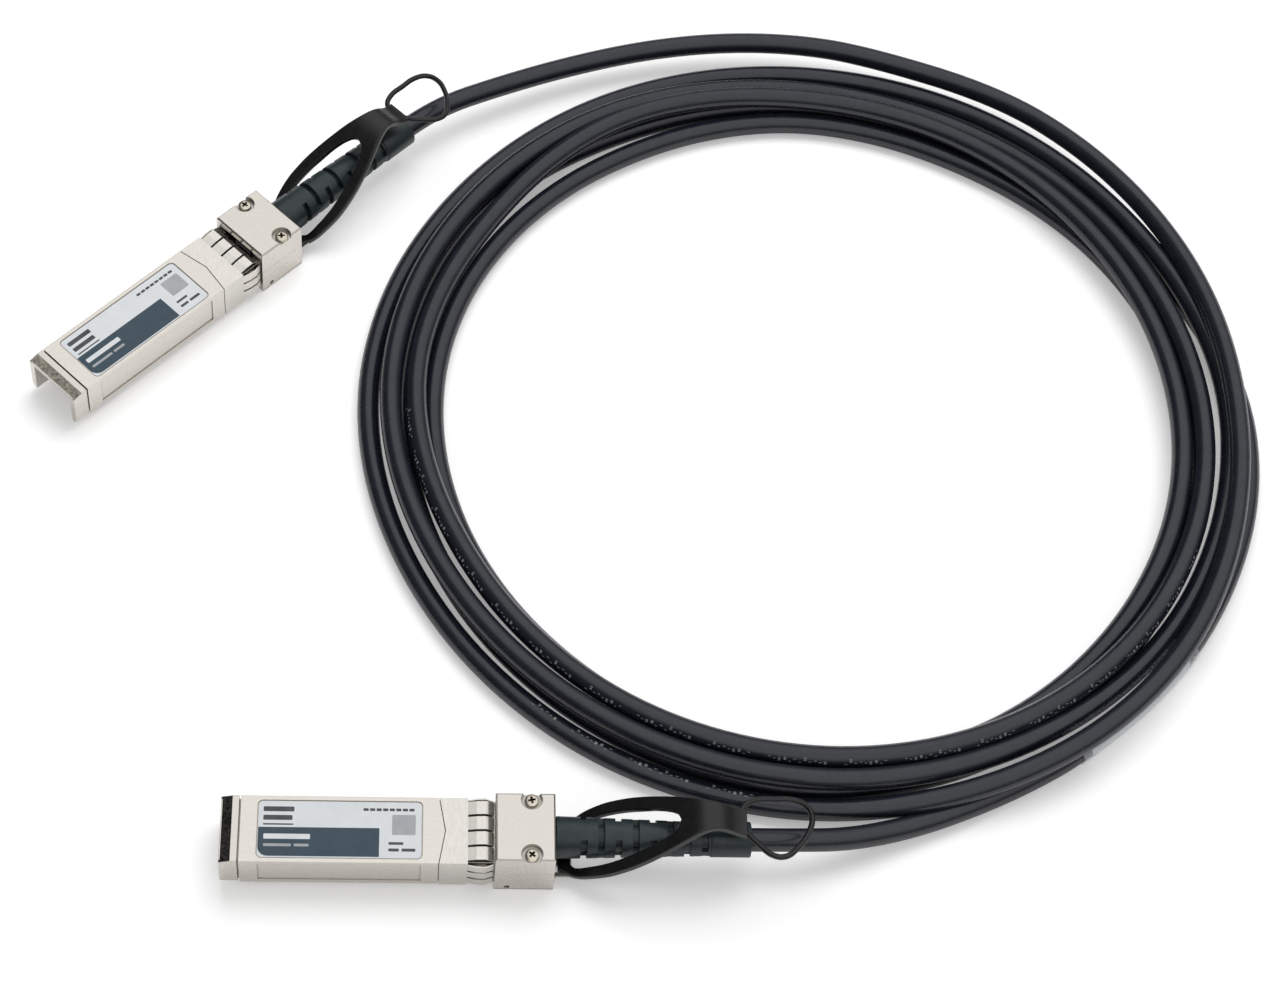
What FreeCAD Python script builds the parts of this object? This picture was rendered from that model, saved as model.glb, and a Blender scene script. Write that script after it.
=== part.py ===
import FreeCAD, Part
import math
import os
import Sketcher
from FreeCAD import Placement, Rotation, Vector

# A direct attach copper cable: two small pluggable plugs joined by one coiled cable.
# Each plug is drawn in its own frame: x runs from the nose tip to the cable, y across,
# z up from the underside of the backshell. Lengths are millimetres.

PLUG_SIZES = {
    # castings
    "front_length": 50.2,       # nose tip to the backshell
    "body_width": 13.4,
    "body_height": 8.55,
    "belly_step": 1.3,          # how far the backshell reaches below the body
    "backshell_length": 11.0,
    "backshell_width": 13.8,
    "backshell_height": 11.9,
    "parting_height": 6.1,
    "casting_wall": 0.8,
    "casting_floor": 1.1,
    "casting_roof": 0.6,
    "edge_chamfer": 0.8,
    "backshell_chamfer": 0.3,
    "nose_length": 3.3,
    "lip_run": 2.06,
    "lip_drop": 0.57,
    "mouth_length": 10.4,
    # sheet metal
    "sheet_thickness": 0.25,
    "sheet_gap": 0.05,
    "emboss_depth": 0.2,
    "cover_front": 3.6,
    "cover_setback": 10.36,      # rear edge of the cover to the backshell
    "cover_vee": 1.16,
    "cover_skirt_gap": 0.3,
    "recess_front": 6.7,
    "recess_margin": 2.94,
    "recess_width": 11.8,
    "recess_corner": 1.0,
    "panel_bottom": 2.6,
    "panel_top": 8.9,
    "seam_gap": 0.15,
    "finger_reach": 5.0,        # roots, crests and tips of the fingers to the backshell
    "finger_tip_gap": 0.3,
    "finger_crest_gap": 1.8,
    "finger_rise": 0.42,
    "finger_width": 2.65,
    "finger_pitch": 3.1,
    "side_finger_width": 2.0,
    "side_finger_pitch": 2.5,
    "label_margin": 0.2,
    "label_thickness": 0.08,
    # card and what it carries
    "card_front": 3.2,
    "card_setback": 10.2,
    "card_bottom": 2.25,        # above the belly of the body
    "card_thickness": 1.0,
    "card_edge_width": 9.2,
    "card_edge_length": 12.0,
    "card_side_gap": 0.2,
    "rail_width": 0.8,
    "clamp_setback": 10.0,
    "clamp_length": 4.0,
    "contact_pitch": 0.8,
    "contact_width": 0.5,
    "contact_length": 2.2,
    "contact_thickness": 0.04,
    "contact_setback": 0.3,
    "capacitor_length": 1.0,
    "capacitor_width": 0.5,
    "capacitor_spacing": 1.9,
    "capacitor_row": 14.5,
    "chip_front": 22.0,
    "chip_length": 4.4,
    "chip_width": 3.0,
    "chip_height": 0.9,
    # cable end, ferrule and boot, all on the cable's axis
    "axis_height": 7.6,
    "cable_diameter": 4.4,
    "cable_gap": 0.05,
    "strip_depth": 3.8,
    "ferrule_setback": 0.8,
    "ferrule_length": 3.2,
    "ferrule_wall": 0.35,
    "rear_wall": 1.3,
    "flange_half": 3.4,
    "flange_thickness": 1.4,
    "neck_radius": 2.72,
    "boot_front_radius": 3.95,
    "boot_waist_radius": 3.1,
    "cuff_radius": 3.3,
    "cuff_length": 7.5,
    "boot_length": 36.3,
    "boot_start_gap": 0.1,
    "boot_slot_width": 1.2,
    "boot_slot_core": 2.45,
    "boot_slot_pitch": 6.4,
    "boot_slot_setback": 4.7,
    "boot_side_slot_reach": 57.0,       # degrees either way of where a slot faces
    "boot_top_slot_reach": 75.0,
    "pair_width": 2.0,
    "pair_height": 1.0,
    "pair_gap": 0.2,
    "pair_lap": 3.0,
    "cavity_width": 8.6,
    "cavity_ceiling": 10.4,
    "wire_floor": 4.6,
    "island_gap": 0.4,
    # screws
    "screw_edge_distance": 4.36,
    "screw_spacing": 11.1,
    "screw_head_radius": 1.3,
    "screw_head_height": 0.8,
    "screw_shank_radius": 0.7,
    "screw_length": 7.4,
    "screw_pocket_radius": 2.0,
    "screw_pocket_depth": 0.9,
    "screw_clearance": 0.15,
    "thread_gap": 0.02,
    # latch and actuator
    "pin_setback": 2.4,
    "pin_height": 1.0,
    "pin_radius": 0.5,
    "pin_end_gap": 0.3,
    "pin_gap": 0.05,
    "lever_reach": 11.0,
    "lever_bottom": 1.45,
    "lever_top": 2.3,
    "lever_width": 2.8,
    "tail_reach": 3.8,
    "knuckle_radius": 0.9,
    "boss_setback": 0.4,
    "boss_length": 3.0,
    "boss_width": 2.6,
    "boss_depth": 1.0,          # below the belly of the body
    "channel_half_width": 1.9,
    "channel_roof": 3.9,
    "channel_end_gap": 0.4,
    "spring_wire": 0.3,
    "spring_radius": 0.75,
    "spring_turns": 3.0,
    "spring_leg": 2.4,
    "spring_pocket": 3.3,
    "slide_setback": 0.8,
    "slide_bottom": 2.5,
    "slide_thickness": 0.6,
    "slide_half_width": 5.8,
    "slide_gap": 0.1,
    "tongue_length": 3.1,
    "slide_tongue_width": 0.9,
    "hook_length": 2.6,
    "slide_hook_half_width": 3.6,
    "slide_travel": 2.5,
    "cam_length": 1.2,
    "cam_slope": 0.2,
    "cam_gap": 0.15,
    "cam_half_width": 1.2,
    # pull tab
    "tab_gap": 0.7,
    "tab_thickness": 1.5,
    "tab_bar_length": 2.7,
    "tab_bar_bottom": 1.8,
    "tab_bar_half": 4.4,
    "tab_arm_half": 7.4,
    "tab_arm_width": 2.35,
    "tab_arch": 14.35,          # climb of the strap from its bar to its crest
    "strap_half_width": 2.6,
    "ring_height": 14.2,        # middle of the ring above the table
    "ring_bar": 1.0,
    "ring_distance": 34.6,
    "ring_length": 13.1,
    "ring_corner": 3.6,
    "ring_nose": 2.6,
    "ring_flat": 5.3,
    "ring_apex": 7.2,
}

CABLE_SIZES = {
    "coil_centre_x": 59.6,
    "coil_centre_y": 101.8,
    "coil_radius": 94.5,
    "coil_hole_x": 58.8,
    "coil_hole_y": 98.8,
    "coil_hole_radius": 75.3,
    "coil_height": 8.4,
    "sleeve_distance": 92.3,    # from the middle of the coil
    "sleeve_direction": -48.0,  # degrees from the x axis
    "sleeve_length": 36.0,
    "sleeve_bore": 2.35,
    "sleeve_wall": 0.35,
}

# Where each plug lies: the middle of its backshell's underside, and its heading.
PLUGS = {
    "near": {"x": 0.0, "y": 0.0, "heading": 0.0},
    "far": {"x": -54.4, "y": 138.4, "heading": 45.0},
}

# Middle line of the cable where it isn't coiled, from the end of each boot to the coil. Like the
# plug's own pieces it is written along the plug's axis: forward, to the left, and up from the table.
LEADS = {
    "near": [
        (0.0, 0.0, 7.6), (8.0, 0.0, 7.6), (19.0, 1.6, 5.0), (31.0, 5.4, 2.6), (43.0, 10.1, 2.25),
        (54.5, 15.6, 2.25),
    ],
    "far": [
        (0.0, 0.0, 7.6), (9.0, 0.0, 7.6), (25.0, -4.6, 6.4), (41.0, -10.7, 5.7), (56.0, -18.6, 5.8),
        (69.3, -28.1, 6.0), (80.9, -39.3, 6.1), (90.2, -52.0, 6.1),
    ],
}


class Size:
    """A length that carries both its value and the spreadsheet expression behind it."""

    def __init__(self, value, text):
        self.value = value
        self.text = text

    def join(self, other, sign, value, swapped=False):
        mine = self.text
        theirs = other.text if isinstance(other, Size) else repr(float(other))
        first, second = (theirs, mine) if swapped else (mine, theirs)
        return Size(value, f"({first} {sign} {second})")

    def __float__(self):
        return self.value

    def __add__(self, other):
        return self.join(other, "+", self.value + float(other))

    def __radd__(self, other):
        return self.join(other, "+", float(other) + self.value, swapped=True)

    def __sub__(self, other):
        return self.join(other, "-", self.value - float(other))

    def __rsub__(self, other):
        return self.join(other, "-", float(other) - self.value, swapped=True)

    def __mul__(self, other):
        return self.join(other, "*", self.value * float(other))

    def __truediv__(self, other):
        return self.join(other, "/", self.value / float(other))

    def __neg__(self):
        return Size(-self.value, f"(0 - {self.text})")


class SizeSheet:
    """The spreadsheet of driving sizes, read as attributes."""

    def __init__(self, doc, sizes):
        self.sheet = doc.addObject("Spreadsheet::Sheet", "Sizes")
        for row, (name, value) in enumerate(sizes.items(), start=1):
            self.sheet.set(f"A{row}", name)
            self.sheet.set(f"B{row}", str(value))
            self.sheet.setAlias(f"B{row}", name)
        doc.recompute()

    def __getattr__(self, name):
        return Size(float(self.sheet.get(name)), f"Sizes.{name}")


doc = FreeCAD.newDocument("DirectAttachCable")
S = SizeSheet(doc, {**PLUG_SIZES, **CABLE_SIZES})

# Heights and positions that several pieces share.
BODY_TOP = S.belly_step + S.body_height
BODY_HALF = S.body_width / 2
SHEET_INSIDE = BODY_HALF - S.sheet_thickness
CASTING_HALF = SHEET_INSIDE - S.emboss_depth - S.sheet_gap
CASTING_TOP = BODY_TOP - S.sheet_thickness - S.emboss_depth - S.sheet_gap
INNER_HALF = CASTING_HALF - S.casting_wall
ROOF_UNDERSIDE = CASTING_TOP - S.casting_roof
TRAY_FLOOR = S.belly_step + S.casting_floor
BACKSHELL_HALF = S.backshell_width / 2
PLUG_END = S.front_length + S.backshell_length
INNER_END = PLUG_END - S.rear_wall
CARD_BOTTOM = S.belly_step + S.card_bottom
CARD_TOP = CARD_BOTTOM + S.card_thickness
CAVITY_HALF = S.cavity_width / 2
SLIDE_SLOT_TOP = S.slide_bottom + S.slide_thickness + S.slide_gap
CABLE_RADIUS = S.cable_diameter / 2
BORE_RADIUS = CABLE_RADIUS + S.cable_gap

# Places along the plug that follow from its front, its backshell and each other.
COVER_REAR = S.front_length - S.cover_setback
RECESS_REAR = COVER_REAR - S.recess_margin
FINGER_START = S.front_length - S.finger_reach
FINGER_CREST = S.front_length - S.finger_crest_gap
FINGER_END = S.front_length - S.finger_tip_gap
CARD_REAR = S.front_length - S.card_setback
CLAMP_FRONT = CARD_REAR - S.clamp_setback
ISLAND_FRONT = CARD_REAR + S.island_gap
STRIP_POSITION = S.front_length + S.strip_depth
FERRULE_FRONT = STRIP_POSITION + S.ferrule_setback
BOOT_END = PLUG_END + S.boot_length
CUFF_FRONT = BOOT_END - S.cuff_length
SIDE_SLOT = PLUG_END + S.boot_slot_setback
TOP_SLOT = SIDE_SLOT + S.boot_slot_pitch / 2
SCREW_POSITION = PLUG_END - S.screw_edge_distance
PIN_POSITION = S.front_length + S.pin_setback
LEVER_FRONT = PIN_POSITION - S.lever_reach
LEVER_TAIL = PIN_POSITION + S.tail_reach
BOSS_FRONT = LEVER_FRONT + S.boss_setback
BOSS_REAR = BOSS_FRONT + S.boss_length
SLIDE_FRONT = PIN_POSITION + S.slide_setback
SLIDE_TONGUE = PLUG_END + S.tongue_length
SLIDE_HOOK = PLUG_END + S.hook_length
TAB_FRONT = PLUG_END + S.tab_gap
TAB_BAR_REAR = TAB_FRONT + S.tab_bar_length
RING_FRONT = PLUG_END + S.ring_distance
RING_REAR = RING_FRONT + S.ring_length
COLLAR_FRONT = COVER_REAR + S.seam_gap
SCREW_FLOOR = S.backshell_height - S.screw_pocket_depth
MARGIN = 1.0                    # how far a cut runs past the solid that it opens
BOOT_FLATS = 24                 # flats round the boot's taper
COIL_FLATS = 60                 # flats round the coil's outer and inner edges
SCREW_FLATS = 10                # flats round a screw's shank
SLEEVE_FLATS = 16               # flats round the clear sleeve
LEAD_FLATS = 12                 # flats round the plain tubes that stand for the cable's leads


def bind(feature, name, value):
    """Set a property, through the spreadsheet where the value comes from it."""
    if isinstance(value, Size):
        feature.setExpression(name, value.text)
    else:
        setattr(feature, name, value)


def new_body(label):
    body = doc.addObject("PartDesign::Body", label)
    body.Label = label
    return body


def origin_feature(body, role):
    return next(item for item in body.Origin.OriginFeatures if item.Role == role)


def new_sketch(body, role, offset=0.0):
    """A sketch on one of the body's own planes, lifted along the plane's normal."""
    sketch = body.newObject("Sketcher::SketchObject", body.Label + "_sketch")
    sketch.AttachmentSupport = [(origin_feature(body, role), "")]
    sketch.MapMode = "FlatFace"
    if isinstance(offset, Size):
        sketch.AttachmentOffset = Placement(Vector(0, 0, float(offset)), Rotation())
        sketch.setExpression("AttachmentOffset.Base.z", offset.text)
    else:
        sketch.AttachmentOffset = Placement(Vector(0, 0, offset), Rotation())
    return sketch


def fix_point(sketch, geometry, position, x, y):
    for kind, value in (("DistanceX", x), ("DistanceY", y)):
        index = sketch.addConstraint(Sketcher.Constraint(kind, -1, 1, geometry, position, float(value)))
        if isinstance(value, Size):
            sketch.setExpression(f"Constraints[{index}]", value.text)


def polygon(sketch, points):
    """A closed outline whose corners are tied to the sheet."""
    first = sketch.GeometryCount
    corners = [Vector(float(x), float(y), 0) for x, y in points]
    for start, end in zip(corners, corners[1:] + corners[:1]):
        sketch.addGeometry(Part.LineSegment(start, end))
    for step, (x, y) in enumerate(points):
        following = (step + 1) % len(points)
        sketch.addConstraint(Sketcher.Constraint("Coincident", first + step, 2, first + following, 1))
        fix_point(sketch, first + step, 1, x, y)


def rectangle(sketch, left, right, bottom, top):
    polygon(sketch, [(left, bottom), (right, bottom), (right, top), (left, top)])


def circle(sketch, x, y, radius):
    index = sketch.addGeometry(
        Part.Circle(Vector(float(x), float(y), 0), Vector(0, 0, 1), float(radius))
    )
    fix_point(sketch, index, 3, x, y)
    constraint = sketch.addConstraint(Sketcher.Constraint("Radius", index, float(radius)))
    if isinstance(radius, Size):
        sketch.setExpression(f"Constraints[{constraint}]", radius.text)


def extrude(body, kind, sketch, length, symmetric=False, reverse=False):
    feature = body.newObject(kind, body.Label + "_" + kind.split("::")[1].lower())
    feature.Profile = sketch
    bind(feature, "Length", length)
    feature.SideType = "Symmetric" if symmetric else "One side"
    feature.Reversed = reverse
    sketch.Visibility = False
    return feature


def pad(body, sketch, length, symmetric=False, reverse=False):
    feature = extrude(body, "PartDesign::Pad", sketch, length, symmetric, reverse)
    doc.recompute()
    return feature


def pocket(body, sketch, length, symmetric=False, reverse=False):
    """Cut, then make sure that the cut took something away."""
    before = body.Shape.Volume
    feature = extrude(body, "PartDesign::Pocket", sketch, length, symmetric, reverse)
    doc.recompute()
    if body.Shape.Volume > before - 1e-6:
        raise RuntimeError(f"{feature.Label} cuts nothing")
    return feature


def repeat(body, feature, role, length, count):
    """A row of one feature along an axis of the body."""
    pattern = body.newObject("PartDesign::LinearPattern", body.Label + "_row")
    pattern.Originals = [feature]
    pattern.Direction = (origin_feature(body, role), [""])
    bind(pattern, "Length", length)
    pattern.Occurrences = count
    body.Tip = pattern
    doc.recompute()
    return pattern


def dress(body, kind, keep, size):
    """Fillet or chamfer the edges of the last feature that the test keeps."""
    base = body.Tip
    names = [f"Edge{index}" for index, edge in enumerate(base.Shape.Edges, start=1) if keep(edge)]
    feature = body.newObject(kind, body.Label + "_" + kind.split("::")[1].lower())
    feature.Base = (base, names)
    bind(feature, "Radius" if kind.endswith("Fillet") else "Size", size)
    doc.recompute()
    return feature


def is_upright(edge):
    box = edge.BoundBox
    return box.XLength < 1e-6 and box.YLength < 1e-6


def add_feature(label, shape):
    """A piece whose shape is made directly from the sheet's values."""
    feature = doc.addObject("Part::Feature", label)
    feature.Label = label
    feature.Shape = shape
    return feature


def box_shape(left, right, front, back, bottom, top):
    """A block between six planes."""
    size = (float(right) - float(left), float(back) - float(front), float(top) - float(bottom))
    return Part.makeBox(*size, Vector(float(left), float(front), float(bottom)))


def vee_strip(at_edge, at_middle, right):
    """Outline of what lies behind a shallow V across the body."""
    side = BODY_HALF + MARGIN
    return [
        (at_edge, -side), (right, -side), (right, side), (at_edge, side),
        (at_edge, BODY_HALF), (at_middle, 0.0), (at_edge, -BODY_HALF),
    ]


# ---------------------------------------------------------------- castings


def entry_cuts(body):
    """The hole in the rear wall for the boot's neck, and the groove for its flange."""
    neck = new_sketch(body, "YZ_Plane", PLUG_END)
    circle(neck, 0.0, S.axis_height, S.neck_radius + S.cable_gap)
    pocket(body, neck, S.rear_wall)
    half = S.flange_half + S.sheet_gap
    groove = new_sketch(body, "YZ_Plane", INNER_END)
    rectangle(groove, -half, half, S.axis_height - half, S.axis_height + half)
    pocket(body, groove, S.flange_thickness + S.sheet_gap * 2)


def base_housing(label):
    """Lower casting: tray for the card, raised floor over the latch, lower half of the backshell."""
    body = new_body(label)
    belly = S.belly_step
    for half, length in ((CASTING_HALF, COLLAR_FRONT), (BODY_HALF, S.nose_length)):
        section = new_sketch(body, "YZ_Plane")
        polygon(section, [
            (-half, belly + S.edge_chamfer), (-half + S.edge_chamfer, belly),
            (half - S.edge_chamfer, belly), (half, belly + S.edge_chamfer),
            (half, S.parting_height), (-half, S.parting_height),
        ])
        pad(body, section, length)
    waist = new_sketch(body, "YZ_Plane", COLLAR_FRONT)
    waist_bottom = belly + S.sheet_thickness + S.emboss_depth + S.sheet_gap
    rectangle(waist, -CASTING_HALF, CASTING_HALF, waist_bottom, S.parting_height)
    pad(body, waist, S.front_length - COLLAR_FRONT)
    backshell = new_sketch(body, "YZ_Plane", S.front_length)
    rectangle(backshell, -BACKSHELL_HALF, BACKSHELL_HALF, 0.0, S.parting_height)
    pad(body, backshell, S.backshell_length)

    tray = new_sketch(body, "XY_Plane", S.parting_height)
    rectangle(tray, 0.0, ISLAND_FRONT, -INNER_HALF, INNER_HALF)
    pocket(body, tray, S.parting_height - TRAY_FLOOR)
    mouth = new_sketch(body, "XY_Plane", TRAY_FLOOR)
    rectangle(mouth, 0.0, S.mouth_length, -INNER_HALF, INNER_HALF)
    pocket(body, mouth, TRAY_FLOOR)
    rails = new_sketch(body, "XY_Plane", CARD_BOTTOM)
    for near, far in ((-INNER_HALF, -INNER_HALF + S.rail_width), (INNER_HALF - S.rail_width, INNER_HALF)):
        rectangle(rails, S.card_edge_length, ISLAND_FRONT, near, far)
    pad(body, rails, CARD_BOTTOM - TRAY_FLOOR, reverse=True)
    wires = new_sketch(body, "XY_Plane", S.parting_height)
    rectangle(wires, ISLAND_FRONT, INNER_END, -CAVITY_HALF, CAVITY_HALF)
    pocket(body, wires, S.parting_height - S.wire_floor)
    entry_cuts(body)

    cam_end = SLIDE_FRONT + S.cam_length + S.slide_travel
    channel = new_sketch(body, "XY_Plane", S.channel_roof)
    rectangle(channel, LEVER_FRONT - S.channel_end_gap, cam_end + S.channel_end_gap,
              -S.channel_half_width, S.channel_half_width)
    pocket(body, channel, S.channel_roof)
    coil = new_sketch(body, "XY_Plane", S.pin_height * 2 + S.slide_gap)
    reach = S.spring_radius + S.spring_wire + S.slide_gap
    rectangle(coil, PIN_POSITION - reach, PIN_POSITION + reach, 0.0, S.spring_pocket)
    pocket(body, coil, S.pin_height * 2 + S.slide_gap)
    slot = new_sketch(body, "XY_Plane", SLIDE_SLOT_TOP)
    slot_half = S.slide_half_width + S.slide_gap
    rectangle(slot, SLIDE_FRONT - S.channel_end_gap, PLUG_END, -slot_half, slot_half)
    pocket(body, slot, S.slide_thickness + S.slide_gap * 2)

    pin_bore = new_sketch(body, "XZ_Plane")
    circle(pin_bore, PIN_POSITION, S.pin_height, S.pin_radius + S.thread_gap)
    pocket(body, pin_bore, S.backshell_width, symmetric=True)
    threads = new_sketch(body, "XY_Plane", S.parting_height)
    for side in (-0.5, 0.5):
        circle(threads, SCREW_POSITION, S.screw_spacing * side, S.screw_shank_radius + S.thread_gap)
    pocket(body, threads, S.parting_height - (SCREW_FLOOR - S.screw_length) + S.slide_gap)
    return body


def top_housing(label):
    """Upper casting: lid over the card, sloped nose lip, upper half of the backshell."""
    body = new_body(label)
    lid = new_sketch(body, "YZ_Plane")
    rectangle(lid, -CASTING_HALF, CASTING_HALF, S.parting_height, CASTING_TOP)
    pad(body, lid, S.front_length)
    nose = new_sketch(body, "XZ_Plane")
    polygon(nose, [
        (0.0, S.parting_height), (S.nose_length, S.parting_height), (S.nose_length, BODY_TOP),
        (S.lip_run, BODY_TOP), (0.0, BODY_TOP - S.lip_drop),
    ])
    pad(body, nose, S.body_width, symmetric=True)
    backshell = new_sketch(body, "YZ_Plane", S.front_length)
    rectangle(backshell, -BACKSHELL_HALF, BACKSHELL_HALF, S.parting_height, S.backshell_height)
    pad(body, backshell, S.backshell_length)
    top = S.backshell_height.value
    dress(body, "PartDesign::Chamfer",
          lambda edge: edge.BoundBox.ZMin > top - 1e-6, S.backshell_chamfer)

    cavity = new_sketch(body, "XY_Plane", ROOF_UNDERSIDE)
    rectangle(cavity, 0.0, S.front_length, -INNER_HALF, INNER_HALF)
    pocket(body, cavity, ROOF_UNDERSIDE - S.parting_height)
    wires = new_sketch(body, "XY_Plane", S.cavity_ceiling)
    rectangle(wires, S.front_length, INNER_END, -CAVITY_HALF, CAVITY_HALF)
    pocket(body, wires, S.cavity_ceiling - S.parting_height)
    clamps = new_sketch(body, "XY_Plane", CARD_TOP + S.sheet_gap)
    for side in (-1, 1):
        outer = (INNER_HALF - S.slide_gap) * side
        inner = (INNER_HALF - S.rail_width) * side
        near, far = (outer, inner) if side < 0 else (inner, outer)
        rectangle(clamps, CLAMP_FRONT, CLAMP_FRONT + S.clamp_length, near, far)
    pad(body, clamps, ROOF_UNDERSIDE - CARD_TOP)
    entry_cuts(body)

    pockets = new_sketch(body, "XY_Plane", S.backshell_height)
    holes = new_sketch(body, "XY_Plane", SCREW_FLOOR)
    for side in (-0.5, 0.5):
        circle(pockets, SCREW_POSITION, S.screw_spacing * side, S.screw_pocket_radius)
        circle(holes, SCREW_POSITION, S.screw_spacing * side, S.screw_shank_radius + S.screw_clearance)
    pocket(body, pockets, S.screw_pocket_depth)
    pocket(body, holes, SCREW_FLOOR - S.parting_height)
    return body


# ---------------------------------------------------------------- sheet metal


def top_cover(label):
    """Folded sheet over the castings, with a recess for the label and one panel on each side."""
    body = new_body(label)
    bottom = S.belly_step + S.cover_skirt_gap
    inside_top = BODY_TOP - S.sheet_thickness
    section = new_sketch(body, "YZ_Plane", S.cover_front)
    polygon(section, [
        (-BODY_HALF, bottom), (-SHEET_INSIDE, bottom), (-SHEET_INSIDE, inside_top),
        (SHEET_INSIDE, inside_top), (SHEET_INSIDE, bottom), (BODY_HALF, bottom),
        (BODY_HALF, BODY_TOP), (-BODY_HALF, BODY_TOP),
    ])
    rear = COVER_REAR + S.cover_vee
    pad(body, section, rear - S.cover_front)
    trim = new_sketch(body, "XY_Plane", BODY_TOP)
    polygon(trim, vee_strip(COVER_REAR, rear, rear + MARGIN))
    pocket(body, trim, S.body_height)

    recess_half = S.recess_width / 2
    tray = new_sketch(body, "XY_Plane", inside_top)
    rectangle(tray, S.recess_front - S.sheet_thickness, RECESS_REAR + S.sheet_thickness,
              -recess_half - S.sheet_thickness, recess_half + S.sheet_thickness)
    pad(body, tray, S.emboss_depth, reverse=True)
    recess = new_sketch(body, "XY_Plane", BODY_TOP)
    rectangle(recess, S.recess_front, RECESS_REAR, -recess_half, recess_half)
    pocket(body, recess, S.emboss_depth)
    level = BODY_TOP.value - 1e-6
    dress(body, "PartDesign::Fillet",
          lambda edge: is_upright(edge) and edge.BoundBox.ZMax > level
          and S.recess_front.value - 1e-6 < edge.BoundBox.XMin < RECESS_REAR.value + 1e-6,
          S.recess_corner)

    for side in (-1, 1):
        inner = new_sketch(body, "XZ_Plane", -SHEET_INSIDE * side)
        rectangle(inner, S.recess_front, RECESS_REAR, S.panel_bottom - S.sheet_thickness,
                  S.panel_top + S.sheet_thickness)
        pad(body, inner, S.emboss_depth, reverse=side < 0)
        outer = new_sketch(body, "XZ_Plane", -BODY_HALF * side)
        rectangle(outer, S.recess_front + S.sheet_thickness, RECESS_REAR - S.sheet_thickness,
                  S.panel_bottom, S.panel_top)
        pocket(body, outer, S.emboss_depth, reverse=side > 0)
    return body


def finger_outline(surface, outward):
    """Side view of one bulged spring finger; outward is the way it bulges."""
    thickness = S.sheet_thickness * outward
    rise = S.finger_rise * outward
    rise_start = (FINGER_START + FINGER_CREST) / 2
    outer = [
        (FINGER_START, surface), (rise_start, surface + rise * 0.8),
        (FINGER_CREST, surface + rise), (FINGER_END, surface - rise * 0.3),
    ]
    inner = [(x, height - thickness) for x, height in reversed(outer)]
    return outer + inner


def emi_collar(label):
    """Spring collar round the body: a split band with fingers that ground the plug in its cage."""
    body = new_body(label)
    belly = S.belly_step
    inside = S.sheet_thickness
    split = S.channel_half_width + S.sheet_gap * 2
    section = new_sketch(body, "YZ_Plane", COLLAR_FRONT)
    polygon(section, [
        (-split, belly), (-split, belly + inside), (-SHEET_INSIDE, belly + inside),
        (-SHEET_INSIDE, BODY_TOP - inside), (SHEET_INSIDE, BODY_TOP - inside),
        (SHEET_INSIDE, belly + inside), (split, belly + inside), (split, belly),
        (BODY_HALF, belly), (BODY_HALF, BODY_TOP), (-BODY_HALF, BODY_TOP), (-BODY_HALF, belly),
    ])
    pad(body, section, FINGER_START - COLLAR_FRONT)
    trim = new_sketch(body, "XY_Plane", BODY_TOP)
    polygon(trim, [
        (COLLAR_FRONT, -BODY_HALF), (COLLAR_FRONT + S.cover_vee, 0.0), (COLLAR_FRONT, BODY_HALF),
    ])
    pocket(body, trim, S.sheet_thickness)

    top_row = S.finger_pitch * 1.5
    top = new_sketch(body, "XZ_Plane", top_row - S.finger_width / 2)
    polygon(top, finger_outline(BODY_TOP, 1))
    repeat(body, pad(body, top, S.finger_width), "Y_Axis", S.finger_pitch * 3, 4)
    side_start = belly + S.body_height / 2 - S.side_finger_pitch - S.side_finger_width / 2
    sides = new_sketch(body, "XY_Plane", side_start)
    polygon(sides, finger_outline(BODY_HALF, 1))
    polygon(sides, finger_outline(-BODY_HALF, -1))
    repeat(body, pad(body, sides, S.side_finger_width), "Z_Axis", S.side_finger_pitch * 2, 3)
    below = new_sketch(body, "XZ_Plane", top_row - S.finger_width / 2)
    polygon(below, finger_outline(belly, -1))
    repeat(body, pad(body, below, S.finger_width), "Y_Axis", S.finger_pitch * 3, 2)
    return body


def label_sheet(label):
    """Thin label that lies in the recess of the cover."""
    body = new_body(label)
    half = S.recess_width / 2 - S.label_margin
    outline = new_sketch(body, "XY_Plane", BODY_TOP - S.emboss_depth)
    rectangle(outline, S.recess_front + S.label_margin, RECESS_REAR - S.label_margin, -half, half)
    pad(body, outline, S.label_thickness)
    dress(body, "PartDesign::Fillet", is_upright, S.recess_corner - S.label_margin)
    return body


# ---------------------------------------------------------------- card and cable end


def paddle_card(label):
    """Circuit card whose front edge is the plug's contact tongue."""
    body = new_body(label)
    edge = S.card_edge_width / 2
    half = INNER_HALF - S.card_side_gap
    outline = new_sketch(body, "XY_Plane", CARD_BOTTOM)
    polygon(outline, [
        (S.card_front, -edge), (S.card_edge_length, -edge), (S.card_edge_length, -half),
        (CARD_REAR, -half), (CARD_REAR, half), (S.card_edge_length, half),
        (S.card_edge_length, edge), (S.card_front, edge),
    ])
    pad(body, outline, S.card_thickness)
    return body


def card_contacts(label):
    """Ten gold pads on each face of the card's front edge."""
    front = float(S.card_front + S.contact_setback)
    length = S.contact_length.value
    width = S.contact_width.value
    thickness = S.contact_thickness.value
    pads = []
    for bottom in (CARD_TOP.value, CARD_BOTTOM.value - thickness):
        for step in range(10):
            middle = (step - 4.5) * S.contact_pitch.value
            pads.append(box_shape(front, front + length, middle - width / 2, middle + width / 2,
                                  bottom, bottom + thickness))
    return add_feature(label, Part.makeCompound(pads))


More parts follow.
